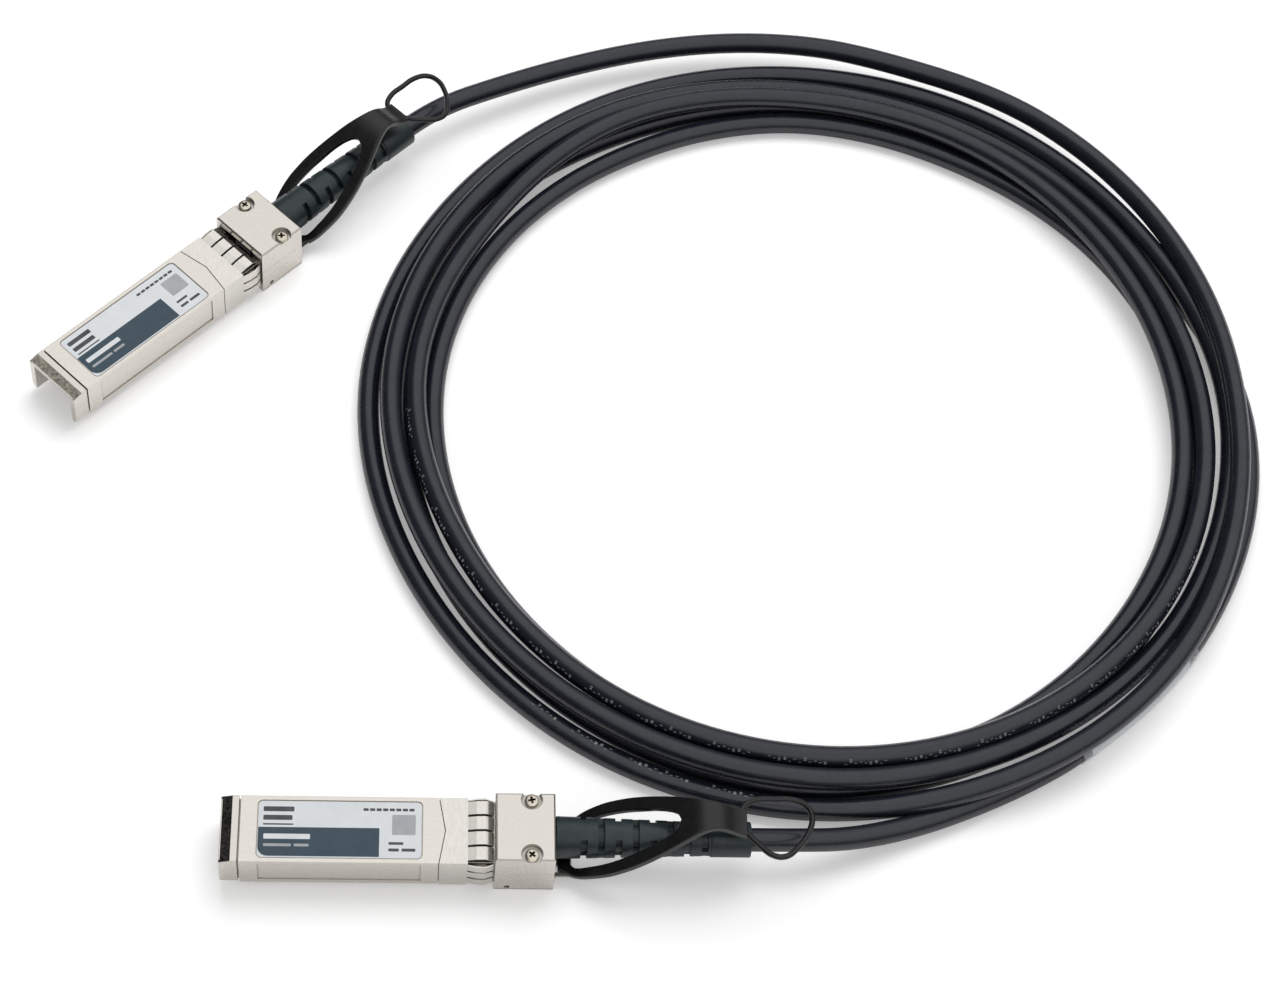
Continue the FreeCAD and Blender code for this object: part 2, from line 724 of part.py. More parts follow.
def coupling_capacitors(label):
    """Four small capacitors in the receive lines."""
    length = S.capacitor_length.value
    width = S.capacitor_width.value
    row = S.capacitor_row.value
    blocks = []
    for step in range(4):
        middle = (step - 1.5) * S.capacitor_spacing.value
        blocks.append(box_shape(row, row + length, middle - width / 2, middle + width / 2,
                                CARD_TOP, CARD_TOP + width))
    return add_feature(label, Part.makeCompound(blocks))


def memory_chip(label):
    """The small memory that tells the host what is plugged in."""
    chip = doc.addObject("Part::Box", label)
    chip.Label = label
    bind(chip, "Length", S.chip_length)
    bind(chip, "Width", S.chip_width)
    bind(chip, "Height", S.chip_height)
    corner = Vector(S.chip_front.value, -S.chip_width.value / 2, CARD_TOP.value)
    chip.Placement = Placement(corner, Rotation())
    return chip


def rounded_path(points):
    """Straight runs joined by tangent arcs; each arc is as large as its two runs allow."""
    spots = [Vector(*point) for point in points]
    edges = []
    radii = []
    start = spots[0]
    for before, corner, after in zip(spots, spots[1:], spots[2:]):
        incoming = (corner - before).normalize()
        outgoing = (after - corner).normalize()
        turn = incoming.getAngle(outgoing)
        reach = 0.45 * min((corner - before).Length, (after - corner).Length)
        radii.append(reach / math.tan(turn / 2))
        enter = corner - incoming * reach
        leave = corner + outgoing * reach
        bisector = (outgoing - incoming).normalize()
        depth = radii[-1] / math.cos(turn / 2) - radii[-1]
        middle = corner + bisector * depth
        edges.append(Part.LineSegment(start, enter).toShape())
        edges.append(Part.Arc(enter, middle, leave).toShape())
        start = leave
    edges.append(Part.LineSegment(start, spots[-1]).toShape())
    return Part.Wire(edges), radii


def swept(path, profile, section_area, name):
    """Sweep a closed profile along a path and compare the volume with section times length."""
    solid = path.makePipeShell([profile], True, True)
    if abs(solid.Volume / (section_area * path.Length) - 1) > 0.02:
        raise RuntimeError(f"{name} has lost volume")
    return solid


def signal_pairs(label):
    """The two flat shielded pairs that drop from the stripped cable to the card."""
    half = S.pair_height.value / 2
    high = S.axis_height.value
    low = float(CARD_TOP + S.slide_gap) + half
    start = float(STRIP_POSITION - S.slide_gap)
    bend = start - S.pair_height.value * 3
    end = float(CARD_REAR - S.pair_lap)
    middle = [(end, low), (FINGER_START.value, low), (bend, high), (start, high)]
    corners = [(x, z - half) for x, z in middle] + [(x, z + half) for x, z in reversed(middle)]
    pairs = []
    for edge in (S.pair_gap.value / 2, -S.pair_gap.value / 2 - S.pair_width.value):
        outline = closed([Vector(x, edge, z) for x, z in corners])
        pairs.append(Part.Face(outline).extrude(Vector(0, S.pair_width.value, 0)))
    return add_feature(label, Part.makeCompound(pairs))


def around(count, radius, phase=0.0):
    """Evenly spaced points round a circle, the first one turned by the phase in steps."""
    step = 2 * math.pi / count
    return [(radius * math.cos(step * (turn + phase)), radius * math.sin(step * (turn + phase)))
            for turn in range(count)]


def closed(points):
    """A closed outline through the points."""
    return Part.makePolygon(points + points[:1])


def crimp_ferrule(label):
    """Crimped ferrule: round bore, six pressed flats outside."""
    body = new_body(label)
    section = new_sketch(body, "YZ_Plane", FERRULE_FRONT)
    reach = BORE_RADIUS + S.ferrule_wall
    corners = around(6, 1 / math.cos(math.pi / 6))
    polygon(section, [(reach * across, reach * up) for across, up in corners])
    circle(section, 0.0, 0.0, BORE_RADIUS)
    pad(body, section, S.ferrule_length)
    return body


def cable_end(label):
    """The end of the cable that the ferrule and the boot hold."""
    body = new_body(label)
    section = new_sketch(body, "YZ_Plane", STRIP_POSITION)
    circle(section, 0.0, 0.0, CABLE_RADIUS)
    pad(body, section, BOOT_END - STRIP_POSITION)
    return body


def flats(position, radius):
    """A ring of flats round the x axis, many enough to read as round in soft rubber."""
    return closed([Vector(position, y, z) for y, z in around(BOOT_FLATS, radius)])


def rod(start, end, radius):
    """A round length of rubber, or the hole through it, along the x axis."""
    return Part.Face(flats(float(start), float(radius))).extrude(Vector(float(end) - float(start), 0, 0))


def slot_room(position, facing, reach):
    """What a flex slot takes out of the boot: a slice of a ring, the reach either way of where it faces."""
    core = S.boot_slot_core.value
    outer = S.boot_front_radius.value + MARGIN
    steps = 6
    angles = [math.radians(facing - reach + 2 * reach * step / steps) for step in range(steps + 1)]
    corners = [Vector(position, core * math.cos(angle), core * math.sin(angle)) for angle in angles]
    corners += [Vector(position, outer * math.cos(angle), outer * math.sin(angle))
                for angle in reversed(angles)]
    return Part.Face(closed(corners)).extrude(Vector(S.boot_slot_width.value, 0, 0))


def strain_relief_boot(label):
    """Tapered boot with a square flange in the backshell, alternating flex slots and a plain cuff."""
    flange_end = float(INNER_END - S.sheet_gap)
    flange_start = float(INNER_END - S.sheet_gap - S.flange_thickness)
    outside = float(PLUG_END + S.boot_start_gap)
    cuff = CUFF_FRONT.value
    end = BOOT_END.value
    half = S.flange_half.value
    boot = Part.makeLoft([flats(outside, S.boot_front_radius.value), flats(cuff, S.boot_waist_radius.value)],
                         True, True)
    boot = boot.fuse(rod(cuff, end, S.cuff_radius))
    boot = boot.fuse(rod(flange_end, outside, S.neck_radius))
    boot = boot.fuse(box_shape(flange_start, flange_end, -half, half, -half, half))
    boot = boot.cut(rod(flange_start, end, BORE_RADIUS))
    for step in range(4):
        shift = step * S.boot_slot_pitch.value
        for facing in (0, 180):
            boot = boot.cut(slot_room(SIDE_SLOT.value + shift, facing, S.boot_side_slot_reach.value))
            boot = boot.cut(slot_room(TOP_SLOT.value + shift, facing + 90, S.boot_top_slot_reach.value))
    return add_feature(label, boot)


def cover_screws(label):
    """Two screws that hold the castings together."""
    position = SCREW_POSITION.value
    floor = SCREW_FLOOR.value
    screws = []
    for side in (-0.5, 0.5):
        foot = Vector(position, side * S.screw_spacing.value, floor)
        head = Part.makeCylinder(S.screw_head_radius.value, S.screw_head_height.value, foot)
        corners = [foot + Vector(x, y, 0) for x, y in around(SCREW_FLATS, S.screw_shank_radius.value)]
        shank = Part.Face(closed(corners)).extrude(Vector(0, 0, -S.screw_length.value))
        screws.append(head.fuse(shank))
    return add_feature(label, Part.makeCompound(screws))


# ---------------------------------------------------------------- latch


def latch_lever(label):
    """Rocking lever: latch boss under its front end, knuckle on the pin, tail under the cam."""
    body = new_body(label)
    tail_top = LEVER_TAIL - SLIDE_FRONT
    low = S.pin_height * 0.6
    outline = new_sketch(body, "XZ_Plane")
    polygon(outline, [
        (LEVER_FRONT, S.lever_bottom), (PIN_POSITION - S.knuckle_radius, S.lever_bottom),
        (PIN_POSITION, low), (PIN_POSITION + S.pin_height, low),
        (LEVER_TAIL, S.lever_bottom), (LEVER_TAIL, cam_line(tail_top)),
        (SLIDE_FRONT, cam_line(0.0)), (SLIDE_FRONT - S.pin_radius, S.lever_top),
        (LEVER_FRONT, S.lever_top),
    ])
    pad(body, outline, S.lever_width, symmetric=True)
    knuckle = new_sketch(body, "XZ_Plane")
    circle(knuckle, PIN_POSITION, S.pin_height, S.knuckle_radius)
    pad(body, knuckle, S.lever_width, symmetric=True)
    boss = new_sketch(body, "XY_Plane", S.lever_bottom)
    half = S.boss_width / 2
    polygon(boss, [(BOSS_FRONT, 0.0), (BOSS_REAR, -half), (BOSS_REAR, half)])
    pad(body, boss, S.lever_bottom - S.belly_step + S.boss_depth, reverse=True)
    bore = new_sketch(body, "XZ_Plane")
    circle(bore, PIN_POSITION, S.pin_height, S.pin_radius + S.pin_gap)
    pocket(body, bore, S.lever_width, symmetric=True)
    return body


def cam_line(distance):
    """Height of the lever's tail behind the slide's front edge."""
    return S.lever_bottom + S.cam_gap + S.cam_slope * distance


def actuator_slide(label):
    """Stamped slide: its cam presses the lever's tail, its tongues show at the rear of the backshell."""
    body = new_body(label)
    half = S.slide_half_width
    inner = half - S.slide_tongue_width
    hook = S.slide_hook_half_width
    step = PLUG_END - S.slide_gap
    plate = new_sketch(body, "XY_Plane", S.slide_bottom)
    polygon(plate, [
        (SLIDE_FRONT, -half), (SLIDE_TONGUE, -half), (SLIDE_TONGUE, -inner), (step, -inner),
        (step, -hook), (SLIDE_HOOK, -hook), (SLIDE_HOOK, hook), (step, hook),
        (step, inner), (SLIDE_TONGUE, inner), (SLIDE_TONGUE, half), (SLIDE_FRONT, half),
    ])
    pad(body, plate, S.slide_thickness)
    cam = new_sketch(body, "XZ_Plane")
    polygon(cam, [
        (SLIDE_FRONT, cam_line(0.0) + S.cam_gap),
        (SLIDE_FRONT + S.cam_length, cam_line(S.cam_length) + S.cam_gap),
        (SLIDE_FRONT + S.cam_length, S.slide_bottom), (SLIDE_FRONT, S.slide_bottom),
    ])
    pad(body, cam, S.cam_half_width * 2, symmetric=True)
    return body


def latch_pin(label):
    """Cross pin that carries the lever, a little below flush in the backshell's sides."""
    pin = doc.addObject("Part::Cylinder", label)
    pin.Label = label
    bind(pin, "Radius", S.pin_radius)
    bind(pin, "Height", S.backshell_width - S.pin_end_gap * 2)
    end = Vector(PIN_POSITION.value, float(S.pin_end_gap - BACKSHELL_HALF), S.pin_height.value)
    pin.Placement = Placement(end, Rotation(Vector(0, 0, 1), Vector(0, 1, 0)))
    return pin


def latch_spring(label):
    """Torsion spring on the pin beside the lever; it turns the boss back out."""
    wire = S.spring_wire.value
    radius = S.spring_radius.value
    start = float(S.lever_width / 2 + S.pin_gap) + wire / 2
    sides = 12
    turns = int(S.spring_turns.value * sides)
    middle = []
    for step in range(turns + 1):
        angle = 2 * math.pi * step / sides
        middle.append(Vector(
            PIN_POSITION.value + radius * math.sin(angle), start + wire * 1.15 * step / sides,
            S.pin_height.value + radius * math.cos(angle),
        ))
    path = Part.makePolygon([middle[0] - Vector(S.spring_leg.value, 0, 0)] + middle)
    half = wire / 2
    foot = path.Vertexes[0].Point
    square = ((-half, -half), (half, -half), (half, half), (-half, half))
    spring = path.makePipeShell([closed([foot + Vector(0, y, z) for y, z in square])], True, False, 1)
    return add_feature(label, spring)


# ---------------------------------------------------------------- pull tab


def rounded_prism(corners, height):
    """Upright prism over a polygon; each corner comes with the radius that rounds it."""
    prism = Part.Face(closed([Vector(x, y, 0) for x, y, _ in corners])).extrude(Vector(0, 0, height))
    for x, y, radius in corners:
        if radius:
            edges = [edge for edge in prism.Edges if is_upright(edge)
                     and math.hypot(edge.CenterOfMass.x - x, edge.CenterOfMass.y - y) < 1e-6]
            prism = prism.makeFillet(radius, edges)
    return prism


def both_sides(corners):
    """A half outline and its mirror image across the tab's middle."""
    return corners + [(x, -y, radius) for x, y, radius in reversed(corners)]


def tab_plan(height):
    """Wishbone seen from above: a bar, two bowed arms round the boot and a strap."""
    bar = TAB_BAR_REAR.value
    reach = float(RING_FRONT - TAB_BAR_REAR)
    wide = S.tab_arm_half.value
    strap = S.strap_half_width.value
    narrow = S.tab_bar_half.value
    arm = S.tab_arm_width.value
    tip = RING_FRONT.value + S.ring_bar.value * 4
    outside = rounded_prism(both_sides([
        (TAB_FRONT.value, narrow, 0), (bar, narrow + arm * 0.25, arm * 0.85),
        (bar + reach * 0.15, wide, reach * 0.16), (bar + reach * 0.38, wide, reach * 0.26),
        (bar + reach * 0.8, strap, reach * 0.38), (tip, strap, 0),
    ]), height)
    opening = rounded_prism(both_sides([
        (bar, narrow - arm * 0.38, 0), (bar + reach * 0.13, wide - arm, reach * 0.16),
        (bar + reach * 0.34, wide - arm, reach * 0.26), (bar + reach * 0.635, strap * 0.85, strap * 0.75),
    ]), height)
    return outside.cut(opening)


def tab_ribbon():
    """The same tab seen from the side: level bar, climbing arms, a crest and the fall to the ring."""
    low = float(S.tab_bar_bottom + S.tab_thickness / 2)
    rise = S.tab_arch.value
    bar = TAB_BAR_REAR.value
    reach = float(RING_FRONT - TAB_BAR_REAR)
    front = TAB_FRONT.value - MARGIN
    ring = S.ring_height.value
    path, _ = rounded_path([
        (front, 0, low), (bar, 0, low), (bar + reach * 0.115, 0, low + rise * 0.21),
        (bar + reach * 0.415, 0, low + rise * 0.56), (bar + reach * 0.69, 0, low + rise),
        (bar + reach * 0.85, 0, low + rise), (RING_FRONT.value, 0, ring), (RING_REAR.value, 0, ring),
    ])
    half = S.tab_thickness.value / 2
    side = S.tab_arm_half.value + MARGIN
    section = ((-side, -half), (side, -half), (side, half), (-side, half))
    profile = closed([Vector(front, y, low + up) for y, up in section])
    return swept(path, profile, side * half * 4, "pull tab")


def ring_outline(inset):
    """Rounded triangle of the finger ring, moved inward by the inset."""
    front = RING_FRONT.value + inset
    rear = RING_REAR.value - inset
    flat = S.ring_flat.value - inset
    apex = -S.ring_apex.value + inset
    middle = (front + rear) / 2
    side = S.ring_corner.value - inset
    nose = S.ring_nose.value - inset * 0.6
    low = apex + nose * 0.42
    shoulder = flat - side * 1.25
    bow = (rear - middle - nose) / 2 - side * 0.1
    climb = (shoulder - low) * 0.62
    edges = [
        Part.makeLine((front + side, flat, 0), (rear - side, flat, 0)),
        Part.Arc(Vector(rear - side, flat, 0), Vector(rear - side * 0.2, flat - side * 0.38, 0),
                 Vector(rear, shoulder, 0)).toShape(),
        Part.Arc(Vector(rear, shoulder, 0), Vector(rear - bow, low + climb, 0),
                 Vector(middle + nose, low, 0)).toShape(),
        Part.Arc(Vector(middle + nose, low, 0), Vector(middle, apex, 0),
                 Vector(middle - nose, low, 0)).toShape(),
        Part.Arc(Vector(middle - nose, low, 0), Vector(front + bow, low + climb, 0),
                 Vector(front, shoulder, 0)).toShape(),
        Part.Arc(Vector(front, shoulder, 0), Vector(front + side * 0.2, flat - side * 0.38, 0),
                 Vector(front + side, flat, 0)).toShape(),
    ]
    return Part.Face(Part.Wire(edges))


def pull_tab(label, slide):
    """Moulded tab: the plan and the side view meet in one curved strap, with a finger ring at its end."""
    high = float(S.tab_arch + S.backshell_height)
    bar = S.ring_bar.value
    strap = tab_plan(high).common(tab_ribbon())
    ring = ring_outline(0.0).cut(ring_outline(bar)).extrude(Vector(0, 0, bar))
    ring.translate(Vector(0, 0, S.ring_height.value - bar / 2))
    hole = ring_outline(bar).extrude(Vector(0, 0, high))
    tab = strap.cut(hole).fuse(ring).cut(slide.Shape).removeSplitter()
    return add_feature(label, tab.Solids[0] if len(tab.Solids) == 1 else tab)


# ---------------------------------------------------------------- cable


def cable_lead(label, points):
    """Round cable along its uncoiled stretch, from the end of the plug's boot."""
    path, radii = rounded_path(points)
    print(label, "bend radii", [round(radius, 1) for radius in radii], "length", round(path.Length, 1))
    area = math.pi * CABLE_RADIUS.value ** 2
    radius = math.sqrt(area / (LEAD_FLATS * math.sin(2 * math.pi / LEAD_FLATS) / 2))
    axis = points[0][2]
    corners = [Vector(0, y, axis + z) for z, y in around(LEAD_FLATS, radius, 0.5)]
    return add_feature(label, swept(path, closed(corners), area, label))


def cable_coil(label):
    """Outer shape of the loose coil: a flat ring whose hole lies a little off its middle."""
    outside = doc.addObject("Part::Prism", label + "_outside")
    outside.Polygon = COIL_FLATS
    bind(outside, "Circumradius", S.coil_radius)
    bind(outside, "Height", S.coil_height)
    outside.Placement = Placement(Vector(S.coil_centre_x.value, S.coil_centre_y.value, 0), Rotation())
    hole = doc.addObject("Part::Prism", label + "_hole")
    hole.Polygon = COIL_FLATS
    bind(hole, "Circumradius", S.coil_hole_radius)
    bind(hole, "Height", S.coil_height)
    hole.Placement = Placement(Vector(S.coil_hole_x.value, S.coil_hole_y.value, 0), Rotation())
    ring = doc.addObject("Part::Cut", label)
    ring.Label = label
    ring.Base = outside
    ring.Tool = hole
    return ring


def label_sleeve(label):
    """Clear sleeve over a paper marker, on the turn that leads to the near plug."""
    body = new_body(label)
    section = new_sketch(body, "XZ_Plane")
    outer = S.sleeve_bore + S.sleeve_wall
    for radius in (outer, S.sleeve_bore):
        polygon(section, [(S.sleeve_distance + radius * across, outer + radius * up)
                          for across, up in around(SLEEVE_FLATS, 1.0)])
    pad(body, section, S.sleeve_length, symmetric=True)
    body.Placement = Placement(
        Vector(S.coil_centre_x.value, S.coil_centre_y.value, 0),
        Rotation(Vector(0, 0, 1), S.sleeve_direction.value),
    )
    return body


# ---------------------------------------------------------------- assembly


def build_plug(prefix, place):
    """All the pieces of one plug and its lead, then moved together to where the plug lies."""
    level = [
        base_housing(prefix + "_base_housing"),
        top_housing(prefix + "_top_housing"),
        top_cover(prefix + "_top_cover"),
        emi_collar(prefix + "_emi_collar"),
        label_sheet(prefix + "_label"),
        paddle_card(prefix + "_paddle_card"),
        card_contacts(prefix + "_card_contacts"),
        coupling_capacitors(prefix + "_coupling_capacitors"),
        memory_chip(prefix + "_memory_chip"),
        signal_pairs(prefix + "_signal_pairs"),
        cover_screws(prefix + "_cover_screws"),
        latch_lever(prefix + "_latch_lever"),
        latch_pin(prefix + "_latch_pin"),
        latch_spring(prefix + "_latch_spring"),
        actuator_slide(prefix + "_actuator_slide"),
    ]
    level.append(pull_tab(prefix + "_pull_tab", level[-1]))
    on_axis = [
        strain_relief_boot(prefix + "_strain_relief_boot"),
        crimp_ferrule(prefix + "_crimp_ferrule"),
        cable_end(prefix + "_cable_end"),
    ]
    lead = cable_lead(prefix + "_lead", LEADS[prefix])
    doc.recompute()
    heading = Rotation(Vector(0, 0, 1), place["heading"])
    middle = float(S.front_length + S.backshell_length / 2)
    seat = Placement(Vector(place["x"], place["y"], 0), heading)
    seat = seat * Placement(Vector(-middle, 0, 0), Rotation())
    for piece in level:
        piece.Placement = seat * piece.Placement
    for piece in on_axis:
        piece.Placement = seat * Placement(Vector(0, 0, S.axis_height.value), Rotation()) * piece.Placement
    lead.Placement = seat * Placement(Vector(BOOT_END.value, 0, 0), Rotation())
    return level + on_axis + [lead]


def main():
    pieces = []
    for prefix, place in PLUGS.items():
        pieces += build_plug(prefix, place)
    pieces.append(cable_coil("cable_coil"))
    pieces.append(label_sleeve("label_sleeve"))
    doc.recompute()

    for item in doc.Objects:
        if {"Invalid", "Error"} & set(item.State):
            raise RuntimeError(f"{item.Label} is {item.State}")
    for piece in pieces:
        if piece.Shape.isNull() or not piece.Shape.isValid() or not piece.Shape.Solids:
            raise RuntimeError(f"{piece.Label} has no valid solid")
    os.makedirs("parts", exist_ok=True)
    for piece in pieces:
        piece.Shape.exportStep(f"parts/{piece.Label}.step")
        print(piece.Label, len(piece.Shape.Solids), round(piece.Shape.Volume, 2))


main()
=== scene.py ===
# Direct attach copper cable: two pluggable metal plugs, slotted boots, black pull tabs and a loose
# coil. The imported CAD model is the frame. Lengths are in metres in the part's own axes, unless a
# comment says millimetres.
import math

import bmesh
import bpy
from mathutils import Matrix, Quaternion, Vector


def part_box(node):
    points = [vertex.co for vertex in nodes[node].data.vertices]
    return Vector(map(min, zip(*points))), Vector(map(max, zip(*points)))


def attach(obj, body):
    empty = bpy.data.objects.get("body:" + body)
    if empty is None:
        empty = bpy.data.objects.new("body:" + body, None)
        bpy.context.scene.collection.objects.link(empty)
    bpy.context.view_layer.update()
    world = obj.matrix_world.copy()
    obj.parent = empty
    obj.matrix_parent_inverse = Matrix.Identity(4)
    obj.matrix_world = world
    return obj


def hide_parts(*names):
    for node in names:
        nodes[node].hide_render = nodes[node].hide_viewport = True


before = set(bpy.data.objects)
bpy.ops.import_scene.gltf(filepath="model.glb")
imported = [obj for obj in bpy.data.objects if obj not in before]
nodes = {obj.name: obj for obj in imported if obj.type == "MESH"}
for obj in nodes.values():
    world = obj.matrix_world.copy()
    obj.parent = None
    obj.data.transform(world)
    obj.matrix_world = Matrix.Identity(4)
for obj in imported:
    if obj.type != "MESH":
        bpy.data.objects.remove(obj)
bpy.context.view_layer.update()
scene = bpy.context.scene


# ---------------------------------------------------------------- camera
# One camera above the front, turned a little so that the near plug lies level in the picture. Its
# lens is long, so that both plugs keep nearly the same scale.
camera = bpy.data.objects.new("camera", bpy.data.cameras.new("camera"))
scene.collection.objects.link(camera)
camera_spot = (-0.0248, -0.2527, 0.5089)
camera.location = camera_spot
look = Vector((0.0239, 0.0801, 0.00135)) - camera.location
turn = look.to_track_quat("-Z", "Y") @ Quaternion((0, 0, 1), math.radians(8.16))
camera.rotation_mode = "QUATERNION"
camera.rotation_quaternion = turn
camera.data.sensor_width = 36
camera.data.lens = 85.18
camera.data.clip_start = 0.01
camera.data.clip_end = 20
scene.camera = camera


# ---------------------------------------------------------------- castings
# Two die castings make each plug's shell: the base with the nose and the lower backshell, and the
# top with the sloped lip and the upper backshell. They are plated with satin nickel, and the lip
# keeps its coarse cast skin, painted much darker on the near plug as painted shade.

# each plug's own axes: x from the nose to the cable, z up from the table, the nose tip at zero
nose_tip = Matrix.Translation((-0.0557, 0, 0))
plug_axes = {
    "near": nose_tip,
    "far": Matrix.Translation((-0.0544, 0.1384, 0))
    @ Matrix.Rotation(math.radians(45), 4, "Z") @ nose_tip,
}


def new_material(name, colour, roughness, metallic=0.0):
    material = bpy.data.materials.new(name)
    material.use_nodes = True
    shader = material.node_tree.nodes["Principled BSDF"]
    shader.inputs["Base Color"].default_value = (*colour, 1)
    shader.inputs["Roughness"].default_value = roughness
    shader.inputs["Metallic"].default_value = metallic
    return material, material.node_tree, shader


def join(tree, source, target):
    tree.links.new(source, target)


def place(tree, stretch=(1, 1, 1)):
    where = tree.nodes.new("ShaderNodeTexCoord")
    mapping = tree.nodes.new("ShaderNodeMapping")
    mapping.inputs["Scale"].default_value = stretch
    join(tree, where.outputs["Object"], mapping.inputs["Vector"])
    return mapping.outputs["Vector"]


def noise(tree, where, scale, detail=2.0):
    texture = tree.nodes.new("ShaderNodeTexNoise")
    texture.inputs["Scale"].default_value = scale
    texture.inputs["Detail"].default_value = detail
    join(tree, where, texture.inputs["Vector"])
    return texture.outputs["Fac"]


def spread(tree, value, low, high):
    ranged = tree.nodes.new("ShaderNodeMapRange")
    ranged.inputs["From Min"].default_value = 0.3
    ranged.inputs["From Max"].default_value = 0.7
    ranged.inputs["To Min"].default_value = low
    ranged.inputs["To Max"].default_value = high
    join(tree, value, ranged.inputs["Value"])
    return ranged.outputs["Result"]


def tint(tree, value, dark, light):
    ramp = tree.nodes.new("ShaderNodeValToRGB")
    ramp.color_ramp.elements[0].position = 0.3
    ramp.color_ramp.elements[0].color = (*dark, 1)
    ramp.color_ramp.elements[1].position = 0.7
    ramp.color_ramp.elements[1].color = (*light, 1)
    join(tree, value, ramp.inputs["Fac"])
    return ramp.outputs["Color"]


def relief(tree, shader, value, depth, rounded=0.0):
    """Surface grain of the given depth, over edges that look rounded by the given radius."""
    bump = tree.nodes.new("ShaderNodeBump")
    bump.inputs["Strength"].default_value = 1.0
    bump.inputs["Distance"].default_value = depth
    join(tree, value, bump.inputs["Height"])
    if rounded:
        edge = tree.nodes.new("ShaderNodeBevel")
        edge.samples = 4
        edge.inputs["Radius"].default_value = rounded
        join(tree, edge.outputs["Normal"], bump.inputs["Normal"])
    join(tree, bump.outputs["Normal"], shader.inputs["Normal"])


# how far the painted shade reaches into the metals' crevices and seams
painted_shade_reach = 0.0007
gloss_patch_scale = 1400


def metal(name, dark, light, roughness, grain_scale, depth, rounded, stretch=(1, 1, 1)):
    """A plated metal with a fine grain, uneven gloss and painted shade that darkens its crevices.
    """
    material, tree, shader = new_material(name, light, roughness, 1.0)
    where = place(tree, stretch)
    # an ambient occlusion node darkens the base colour in crevices and seams: painted shade
    crevice_painted_shade = tree.nodes.new("ShaderNodeAmbientOcclusion")
    crevice_painted_shade.samples = 12
    crevice_painted_shade.inputs["Distance"].default_value = painted_shade_reach
    tone = tint(tree, noise(tree, where, grain_scale / 2), dark, light)
    join(tree, tone, crevice_painted_shade.inputs["Color"])
    join(tree, crevice_painted_shade.outputs["Color"], shader.inputs["Base Color"])
    patches = noise(tree, place(tree), gloss_patch_scale, 3)
    gloss = spread(tree, patches, roughness - 0.03, roughness + 0.04)
    join(tree, gloss, shader.inputs["Roughness"])
    relief(tree, shader, noise(tree, where, grain_scale, 3), depth, rounded)
    return material


def coat_node(material, name):
    for slot in nodes[name].material_slots:
        slot.material = material


def coat(material, *pieces):
    """Gives a material to the named pieces of both plugs."""
    for end in plug_axes:
        for piece in pieces:
            coat_node(material, f"{end}_{piece}")


def set_down(mesh, name, material):
    """A scene object from a bmesh, with its faces turned outwards."""
    bmesh.ops.recalc_face_normals(mesh, faces=mesh.faces)
    data = bpy.data.meshes.new(name)
    mesh.to_mesh(data)
    mesh.free()
    data.materials.append(material)
    piece = bpy.data.objects.new(name, data)
    scene.collection.objects.link(piece)
    return piece


def finished(mesh, name, material, smooth=40):
    """A scene object from a bmesh, shaded smooth up to the given angle."""
    piece = set_down(mesh, name, material)
    piece.data.shade_smooth()
    piece.data.set_sharp_from_angle(angle=math.radians(smooth))
    return piece


def draw_out(mesh, face, way):
    """Extrudes a face by a vector, and gives the corners that it moved."""
    drawn = bmesh.ops.extrude_face_region(mesh, geom=[face])["geom"]
    moved = [item for item in drawn if isinstance(item, bmesh.types.BMVert)]
    bmesh.ops.translate(mesh, verts=moved, vec=way)
    return moved


cast_nickel = metal("cast_nickel", (0.755, 0.715, 0.655), (0.79, 0.75, 0.69), 0.28, 6200,
                    0.0000015, 0.00018)
# the near lip's skin: its near-black colour is painted shade, and the far one is the lighter copy
near_nose_grain = metal("near_nose_grain", (0.012, 0.012, 0.012), (0.10, 0.096, 0.09), 0.42, 3000,
                        0.00004, 0.0)
far_nose_grain = metal("far_nose_grain", (0.24, 0.215, 0.175), (0.62, 0.575, 0.50), 0.38, 3000,
                       0.00004, 0.0)
coat(cast_nickel, "base_housing", "top_housing")
lip_front, lip_back, lip_drop, lip_width = 0.00004, 0.00206, 0.00057, 0.0132
skin, skin_gap = 0.00001, 0.000005
# a thin skin sheet over each lip; on the near plug its dark colour is painted shade
for end, skin_with_shade in (("near", near_nose_grain), ("far", far_nose_grain)):
    lip = bmesh.new()
    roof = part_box(end + "_top_cover")[1][2] + skin_gap
    profile = [(lip_front, roof - lip_drop), (lip_back, roof),
               (lip_back, roof + skin), (lip_front, roof - lip_drop + skin)]
    corners = [plug_axes[end] @ Vector((x, -lip_width / 2, z)) for x, z in profile]
    face = lip.faces.new([lip.verts.new(corner) for corner in corners])
    draw_out(lip, face, plug_axes[end].to_3x3() @ Vector((0, lip_width, 0)))
    lip_piece = finished(lip, end + "_nose_grain", skin_with_shade, 20)
    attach(lip_piece, "shells_and_cable")


# ---------------------------------------------------------------- folded cover
# A thin sheet folded over the lid and down both sides, with a shallow recess for the label. It is
# bright nickel, with a fine grain drawn along the plug.
sheet_nickel = metal("sheet_nickel", (0.775, 0.735, 0.675), (0.81, 0.77, 0.71), 0.24, 5200,
                     0.0000008, 0.00012, (0.3, 1, 1))
coat(sheet_nickel, "top_cover")


# ---------------------------------------------------------------- spring collar
# A sprung sheet ring just in front of the backshell, cut into fingers that bow out and touch the
# cage. Spring steel, glossier than the castings.
spring_steel = metal("spring_steel", (0.76, 0.73, 0.68), (0.82, 0.79, 0.74), 0.18, 4200,
                     0.000001, 0.00008, (1, 0.3, 1))
coat(spring_steel, "emi_collar")


